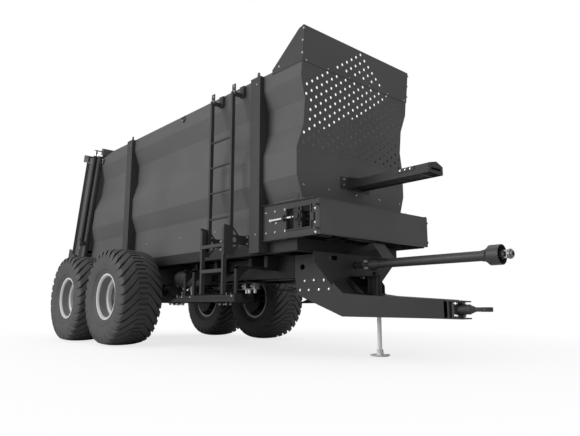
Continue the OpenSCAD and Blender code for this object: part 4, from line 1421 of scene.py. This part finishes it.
class RunningGear:
    """Spring leaves, clamps, brake chambers and pipes round the two axles."""

    AXLES = (678.0, -678.0)

    def springs(self) -> None:
        """Clamped spring leaves over each axle, and the hangers in the middle."""
        form = Steel()
        for k in range(6):
            reach, z = 700.0 - 88 * k, 704.0 + 15 * k
            form.slab("Y", [[(-reach, z - 8 - 3 * k), (0, z - 3), (reach, z - 8 - 3 * k), (reach, z + 4 - 3 * k),
                             (0, z + 10), (-reach, z + 4 - 3 * k)]], 378, 462)
        form.slab("Y", [[(-240, 800), (-150, 610), (-60, 560), (60, 560), (150, 610), (240, 800)],
                        circle(0, 640, 44)], 466, 478)
        form.rod("Y", (0, 340, 640), 150, 42)
        for x in self.AXLES:
            form.slab("Y", [[(x - 95, 700), (x - 95, 760), (x + 95, 760), (x + 95, 700)]], 372, 468)
            form.slab("Y", [[(x - 110, 540), (x + 110, 540), (x + 110, 556), (x - 110, 556)]], 366, 474)
        form.both()
        form.done("spring_packs", BLACK_PAINT, "frame_paint")

    def brakes(self, bolts: Bolts) -> None:
        """Brake chambers with their push rods, levers and backing plates."""
        cans, rods = Steel(), Steel()
        for x in self.AXLES:
            cans.lathe([(20, 0), (72, 6), (84, 40), (92, 60), (92, 74), (84, 92), (80, 150), (60, 172), (24, 176)],
                       turned((x + 150, 640, 700), "X"), 32)
            cans.ring("Y", (x, 930, 620), [(60, 0), (205, 0), (205, 12), (60, 12)])
            cans.slab("Y", [[(x + 10, 590), (x + 40, 600), (x + 52, 730), (x + 20, 734), (x - 24, 620)]], 632, 650)
            cans.block((x + 130, 560, 640), (x + 142, 720, 790))
            rods.rod("X", (x + 40, 641, 708), 110, 8, sides=16)
            rods.rod("Y", (x + 34, 620, 708), 44, 9, sides=16)
        cans.both()
        rods.both()
        cans.done("brake_chambers", BLACK_PAINT, "frame_paint")
        rods.done("brake_rods", BOLT_ZINC, "galvanised", edge=0.0)
        for side in Side:
            for x in self.AXLES:
                bolts.put("spreader", [at(x + dx, side.value * y, 540) for dx in (-84, 84) for y in (380, 460)],
                          (0, 0, -1), 0.018)
                bolts.put("spreader", [at(x + dx, side.value * y, 760) for dx in (-84, 84) for y in (380, 460)],
                          (0, 0, 1), 0.018)

    def pipes(self) -> None:
        """U-bolts, air pipes, valves and hoses under the frame."""
        bars = Form()
        for side in Side:
            for x in self.AXLES:
                for dx in (-84, 84):
                    for y in (380, 460):
                        bars.pipe([at(x + dx, side.value * y, 520), at(x + dx, side.value * y, 775)], 0.011, 12)
        keep(bars.mesh("clamp_bars"), "clamp_bars", BOLT_ZINC, "spreader", 40)
        hoses = Form()
        for k, (x, y, z) in enumerate(((2500, -360, 760), (2420, -300, 770), (1000, -350, 770), (-500, -350, 770),
                                       (2500, 360, 760), (1000, 350, 770), (-500, 350, 770))):
            path = [at(x - 90 * i, y + 26 * math.sin(1.3 * i + k), z - 60 * math.sin(math.pi * i / 8))
                    for i in range(9)]
            hoses.pipe(path, 0.012, 12)
        for y in (-330, -300, 300):
            hoses.pipe([at(-1400, y, 790), at(0, y, 792), at(1600, y, 790), at(3100, y, 795)], 0.008, 10)
        keep(hoses.mesh("air_hoses"), "air_hoses", GUARD_PLASTIC, "spreader", 40)
        valves = Steel()
        for x, y in ((2440, -420), (2330, -420), (2250, -400), (1130, -470), (330, -480)):
            valves.block((x, y - 36, 690), (x + 62, y + 36, 760))
            valves.rod("-Z", (x + 31, y, 690), 44, 15, sides=24)
            valves.rod("-Y", (x + 18, y - 36, 730), 24, 11, sides=6)
            valves.rod("-Y", (x + 46, y - 36, 730), 30, 9, sides=6)
        valves.done("brake_valves", BOLT_ZINC, "galvanised", edge=0.0006)
        tray = Steel()
        tray.block((1850, -520, 760), (2560, -300, 768))
        for x in (1900, 2160, 2420):
            tray.block((x, -520, 700), (x + 8, -300, 800))
        for x in (1500, 1940, 2620, 2900):
            tray.block((x, -640, 905), (x + 60, 640, 1035))
        tray.slab("Y", [[(1980, 700), (2030, 700), (2600, 960), (2550, 960)]], -640, -628)
        tray.done("valve_tray", BLACK_PAINT, "frame_paint")

    def build(self, bolts: Bolts) -> None:
        """Makes all of them."""
        self.springs()
        self.brakes(bolts)
        self.pipes()


class RearEnd:
    """The leaning rear frame: posts, side panels, beams, beaters, gate, cylinders and lamps."""

    POST = (-74.0, 26.0)
    POST_Y, PANEL_Y = 888.0, 905.0
    BACK = -561.0
    TOP, LOW = (700.0, 815.0), (-1010.0, -900.0)
    CYLINDER = (-86.0, 962.0)
    GATE = (-755.0, 970.0)

    def frame_posts(self, bolts: Bolts) -> None:
        """Hollow end posts with a rounded tie at the top and feet at the sill."""
        form = Steel(REAR_LEAN)
        x0, x1 = self.POST
        y = self.POST_Y
        form.slab("Z", [rectangle(x0, y, x1, y + 40), rectangle(x0 + 5, y + 5, x1 - 5, y + 35)], -1010, 835)
        form.slab("Z", [rectangle(x0, y, x1, y + 40)], 830, 836)
        tie = [(x1 - 1, 715), (x1 - 1, 805), *((55 + 45 * math.sin(t), 760 + 45 * math.cos(t)) for t in
                                              (math.pi * k / 10 for k in range(11)))]
        form.slab("Y", [tie], y - 8, y)
        form.slab("Y", [rectangle(-8, -1000, 0, 770)], 865, y)
        form.both()
        form.block((x0 + 10, -y, -1010), (x1 - 10, y, -930))
        form.done("end_frame", POST_PAINT, "body_paint", replaced=("end_posts",))
        # Strips of the lighter body paint on the dark posts' outer faces are painted light: they stand for the lit
        # outer face with its highlight.
        strips = Steel(REAR_LEAN)
        strips.slab("Y", [rectangle(x0 + 12, -880, x0 + 60, 790)], y + 40, y + 43)
        strips.both()
        strips.done("post_painted_light_strips", BODY_PAINT, "body_paint", edge=0.0)
        for side in Side:
            spots = [(62, side.value * (y + 1), z) for z in (740, 782)]
            bolts.put("spreader", [tuple(REAR_LEAN @ Vector(p)) for p in spots], (0, side.value, 0), 0.009)
            spots = [(-248, side.value * (self.PANEL_Y + 11), z) for z in range(-760, 700, 180)]
            bolts.put("spreader", [tuple(REAR_LEAN @ Vector(p)) for p in spots], (0, side.value, 0), 0.009)

    def panels(self) -> None:
        """Side panels round the beaters, with flanges and brackets."""
        form = Steel(REAR_LEAN)
        rear, y = self.BACK + 125, self.PANEL_Y
        form.slab("Y", [rectangle(rear, self.LOW[1], self.POST[0], self.TOP[1] - 30)], y, y + 8)
        form.slab("Y", [rectangle(rear - 6, self.LOW[1], rear, self.TOP[0] - 4)], y, y + 54)
        for z in (self.LOW[1], self.TOP[1] - 60):
            form.block((rear, y - 60, z), (self.POST[0], y, z + 8))
        form.both()
        form.done("beater_side_panels", BODY_PAINT, "body_paint", replaced=("side_plates",))
        # Thin black sheets on the panels' outer faces are painted shade: they stand for the deep shadow in the gap
        # between the rear flange and the cylinder. The block, boss and nut on them are a real bracket.
        strip = Steel(REAR_LEAN)
        strip.slab("Y", [rectangle(-262, self.LOW[1] + 4, self.POST[0] - 4, self.TOP[1] - 40)], y + 8, y + 11)
        strip.block((self.POST[0] - 66, y + 8, -720), (self.POST[0] + 40, y + 16, -600))
        strip.rod("Y", (self.CYLINDER[0] + 70, y + 16, -640), 50, 34, 30, 24)
        strip.rod("Y", (self.CYLINDER[0] + 70, y + 66, -640), 14, 16, sides=6)
        strip.both()
        strip.done("side_panel_strips", BLACK_PAINT, "body_paint", edge=0.0)

    def beams(self, bolts: Bolts) -> None:
        """Beams above and below the beaters, with their bearings and the gearbox between."""
        form = Steel(REAR_LEAN)
        x, y = self.BACK, self.PANEL_Y - 60
        form.block((x - 110, -y, self.LOW[0]), (x + 110, y, self.LOW[1]))
        form.slab("Y", [rectangle(x - 145, self.TOP[0], x + 55, self.TOP[1]),
                        rectangle(x - 139, self.TOP[0] + 6, x + 49, self.TOP[1] - 6)], -913, 913)
        for side in (-1, 1):
            form.rod("Z", (x, side * 448, self.LOW[1]), 20, 90, 70, 48)
            form.rod("Z", (x, side * 448, self.TOP[0] - 22), 22, 70, sides=48)
            form.slab("Y", [rectangle(x - 145, self.LOW[0] - 10, x + 130, self.LOW[1] + 40)],
                      side * 910 - 6, side * 910 + 6)
        form.slab("Y", [rectangle(x - 90, self.LOW[0] - 160, x + 90, self.LOW[0])], -120, 120)
        form.done("beater_frame", FRAME_PAINT, "body_paint", replaced=("beater_beams",))
        # End plates in the lighter body paint over the darker frame paint are painted light on the lit ends of the top
        # beam.
        ends = Steel(REAR_LEAN)
        holes = [circle(x + dx, self.TOP[0] + 86, 11, 16) for dx in (-112, 22)]
        ends.slab("Y", [rectangle(x - 148, self.TOP[0] - 4, x + 58, self.TOP[1] + 4), *holes], 913, 919)
        ends.both()
        ends.done("beam_ends_painted_light", BODY_PAINT, "body_paint")
        spots = [(x + dx, s * 448 + dy, self.LOW[1] + 4) for s in (-1, 1) for dx in (-80, 80) for dy in (-80, 80)]
        bolts.put("spreader", [tuple(REAR_LEAN @ Vector(p)) for p in spots], (0.26, 0, 0.97), 0.015)

    def beater(self, side: Side) -> None:
        """One upright beater: core, throwing disc with paddles, a helical flight and its blades."""
        hand = side.value
        low, high, core, reach, turns = self.LOW[1] + 21, self.TOP[0] - 23, 95.0, 370.0, 3.0
        centre = Matrix.Translation((self.BACK, hand * 448.0, 0))
        form = Steel(REAR_LEAN @ centre)
        form.rod("Z", (0, 0, low), high - low, core, sides=48)
        form.rod("Z", (0, 0, low + 10), 12, 378, sides=64)
        for k in range(6):
            turn = Matrix.Rotation(math.radians(60 * k), 4, "Z")
            form.slab("Y", [[(90, low + 20), (398, low + 20), (398, low + 76), (340, low + 92), (90, low + 92)]],
                      -6, 6, turn)
        start, end = low + 130, high - 60
        steps = int(turns * 32)
        rings = []
        for k in range(steps + 1):
            turn = hand * 2 * math.pi * turns * k / steps
            z = start + (end - start) * k / steps
            rings.append([(r * math.cos(turn), r * math.sin(turn), z + dz)
                          for r, dz in ((core - 8, 0), (reach, 0), (reach, 12), (core - 8, 12))])
        form.skin(rings)
        blades = int(6 * turns)
        for k in range(blades):
            share = (k + 0.5) / blades
            turn = Matrix.Rotation(hand * 2 * math.pi * turns * share, 4, "Z")
            z = start + (end - start) * share
            form.slab("Y", [[(316, z - 30), (reach + 20, z - 36), (reach + 48, z + 8), (reach + 30, z + 62),
                             (316, z + 44)], circle(345, z, 9, 12), circle(345, z + 26, 9, 12)], -20, -10, turn)
        name = side.name.lower()
        form.done(f"beater_{name}_flighted", BEATER_STEEL, "body_paint", f"beater_{name}", (f"beater_{name}",))

    def gate(self) -> None:
        """The sliding gate with its stiffeners, top tube and lugs."""
        form = Steel(REAR_LEAN)
        low, high = self.GATE
        form.block((-14.3, -878, low), (-8.3, 878, high))
        for k in range(4):
            z = low + k * 0.25 * (high - low - 50)
            form.block((-54, -878, z), (-14.3, 878, z + 50))
        form.block((-68, -882, high - 110), (4, 882, high))
        for side in (-1, 1):
            form.slab("Z", [[(-108, side * 986), (-64, side * 986), (-8, side * 880), (-68, side * 880)][::side]],
                      high - 62, high - 44)
        form.done("gate_panel", BODY_PAINT, "body_paint", "gate", ("tailgate",))

    def cylinders(self) -> None:
        """Lift cylinders with glands and feet, and their bright rods."""
        x, y = self.CYLINDER
        barrels = Steel(REAR_LEAN)
        barrels.ring("Z", (x, y, 0), [(30, -640), (30, 792), (34, 796), (34, 824), (30, 828), (17, 828), (17, 790),
                                      (24, 786), (24, -628), (17, -634)], 40)
        barrels.rod("Z", (x, y, -660), 30, 26)
        barrels.slab("Y", [circle(x, -672, 26, 24)], y - 14, y + 14)
        barrels.rod("Y", (x, y - 50, -672), 78, 12)
        barrels.rod("Y", (x, y + 14, -590), 26, 11, sides=20)
        barrels.both()
        barrels.done("gate_cylinders", BLACK_PAINT, "frame_paint", replaced=("gate_barrels",), edge=0.0)
        rods = Steel(REAR_LEAN)
        rods.rod("Z", (x, y, -600), self.GATE[1] - 62 + 598, 16, sides=40)
        rods.rod("Z", (x, y, self.GATE[1] - 106), 42, 25, sides=40)
        rods.both()
        rods.done("gate_lift_rods", CHROME_ROD, "chrome_rod", "gate", ("gate_rods",), 0.0)
        hoses = Form()
        for side in Side:
            spots = [(x + 10 * math.sin(0.9 * k), side.value * (y - 18), -600 + 120 * k) for k in range(12)]
            hoses.pipe([tuple(REAR_LEAN @ Vector(p)) for p in spots], 0.008, 10)
        keep(hoses.mesh("cylinder_hoses"), "cylinder_hoses", GUARD_PLASTIC, "spreader", 40)

    def lamps(self) -> None:
        """Rear lamp clusters with red and amber lenses."""
        for side in Side:
            name = side.name.lower()
            housing = Steel()
            low, high = sorted((side.value * 1146.0, side.value * 866.0))
            housing.block((-1816, low, 716), (-1808, high, 804))
            housing.done(f"lamp_housing_{name}", GUARD_PLASTIC, "frame_paint")
            for k, finish in enumerate((LAMP_AMBER, LAMP_RED, LAMP_RED)):
                lens = Steel()
                middle = side.value * (1100.0 - 92 * k)
                lens.slab("X", [rectangle(middle - 40, 724, middle + 40, 796)], -1834, -1816)
                lens.done(f"lamp_lens_{name}_{k}", finish, "frame_paint", edge=0.004)

    def build(self, bolts: Bolts) -> None:
        """Makes all of them."""
        self.frame_posts(bolts)
        self.panels()
        self.beams(bolts)
        for side in Side:
            self.beater(side)
        self.gate()
        self.cylinders()
        self.lamps()


class Studio:
    """Pale floor, soft light and the camera at the photograph's angle."""

    def __init__(self) -> None:
        """Keeps the scene."""
        self.scene = bpy.context.scene

    def floor(self) -> None:
        """Lays the floor, which fades to white away from the machine."""
        mesh = bpy.data.meshes.new("floor")
        reach = 60.0
        mesh.from_pydata([(-reach, -reach, 0), (reach, -reach, 0), (reach, reach, 0), (-reach, reach, 0)], [],
                         [(0, 1, 2, 3)])
        floor = bpy.data.objects.new("floor", mesh)
        self.scene.collection.objects.link(floor)
        shader = Shader("floor_white")
        bounced = shader.node("ShaderNodeLightPath", output="Is Camera Ray")
        tone = shader.blend(bounced, (0.62, 0.62, 0.62), (0.88, 0.88, 0.88))
        shader.finish(tone, 0.9 + (shader.noise(0.5) - 0.5) * 0.1)
        glow = shader.node("ShaderNodeEmission", values={"Color": (1, 1, 1, 1), "Strength": 1.0})
        seen = shader.node("ShaderNodeLightPath", output="Is Camera Ray")
        far = shader.node("ShaderNodeVectorMath", {"operation": "LENGTH"}, {0: shader.place}, output="Value")
        fade = shader.node("ShaderNodeMapRange", values={0: far, 1: 2.5, 2: 6.0, 3: 0.76, 4: 1.0})
        mixed = shader.node("ShaderNodeMixShader", values={0: seen * fade, 2: glow})
        shader.tree.links.new(shader.surface.outputs[0], mixed.socket.node.inputs[1])
        shader.tree.links.new(mixed.socket, shader.tree.nodes["Material Output"].inputs["Surface"])
        mesh.materials.append(shader.material)

    def light(self) -> None:
        """Sets the sky and the lamps."""
        world = bpy.data.worlds.new("studio")
        self.scene.world = world
        world.use_nodes = True
        tree = world.node_tree
        sky = tree.nodes["Background"]
        sky.inputs["Strength"].default_value = 0.58
        sky.inputs["Color"].default_value = (1, 1, 1, 1)
        white = tree.nodes.new("ShaderNodeBackground")
        path = tree.nodes.new("ShaderNodeLightPath")
        mix = tree.nodes.new("ShaderNodeMixShader")
        tree.links.new(path.outputs["Is Camera Ray"], mix.inputs[0])
        tree.links.new(sky.outputs[0], mix.inputs[1])
        tree.links.new(white.outputs[0], mix.inputs[2])
        tree.links.new(mix.outputs[0], tree.nodes["World Output"].inputs["Surface"])
        white.inputs["Color"].default_value = (1, 1, 1, 1)
        for name, place, size, power in (("key", (-3.0, -10.0, 4.2), 7.0, 620.0), ("top", (0.0, 0.0, 9.0), 8.0, 300.0)):
            lamp = bpy.data.lights.new(name, "AREA")
            lamp.size = size
            lamp.energy = power
            holder = bpy.data.objects.new(name, lamp)
            holder.location = place
            aim = Vector((0.0, 0.0, 1.2)) - Vector(place)
            holder.rotation_euler = aim.to_track_quat("-Z", "Y").to_euler()
            self.scene.collection.objects.link(holder)

    def camera(self) -> None:
        """Makes the camera."""
        data = bpy.data.cameras.new("photo")
        data.sensor_width = 36.0
        data.lens = 33.56
        data.clip_end = 200.0
        camera = bpy.data.objects.new("photo", data)
        camera.location = (BOGIE_X + 7.490, -4.390, 0.477)
        camera.rotation_euler = (math.radians(90 + 9.426), 0.0, math.radians(47.996))
        self.scene.collection.objects.link(camera)
        self.scene.camera = camera

    def build(self) -> None:
        """Sets the whole stage."""
        self.scene.view_settings.view_transform = "Standard"
        self.floor()
        self.light()
        self.camera()


def main() -> None:
    """Builds the machine's finishes and fine pieces in order."""
    logging.basicConfig(level=logging.INFO, format="%(name)s: %(message)s")
    Studio().build()
    MATERIALS.dress_frame()
    bolts = Bolts()
    Wheels().build(bolts)
    Neck().build(bolts)
    Shaft().build()
    FrontBox().build(bolts)
    Headboard().build(bolts)
    SideGear().build(bolts)
    RunningGear().build(bolts)
    RearEnd().build(bolts)
    bolts.build()


if __name__ == "__main__":
    main()
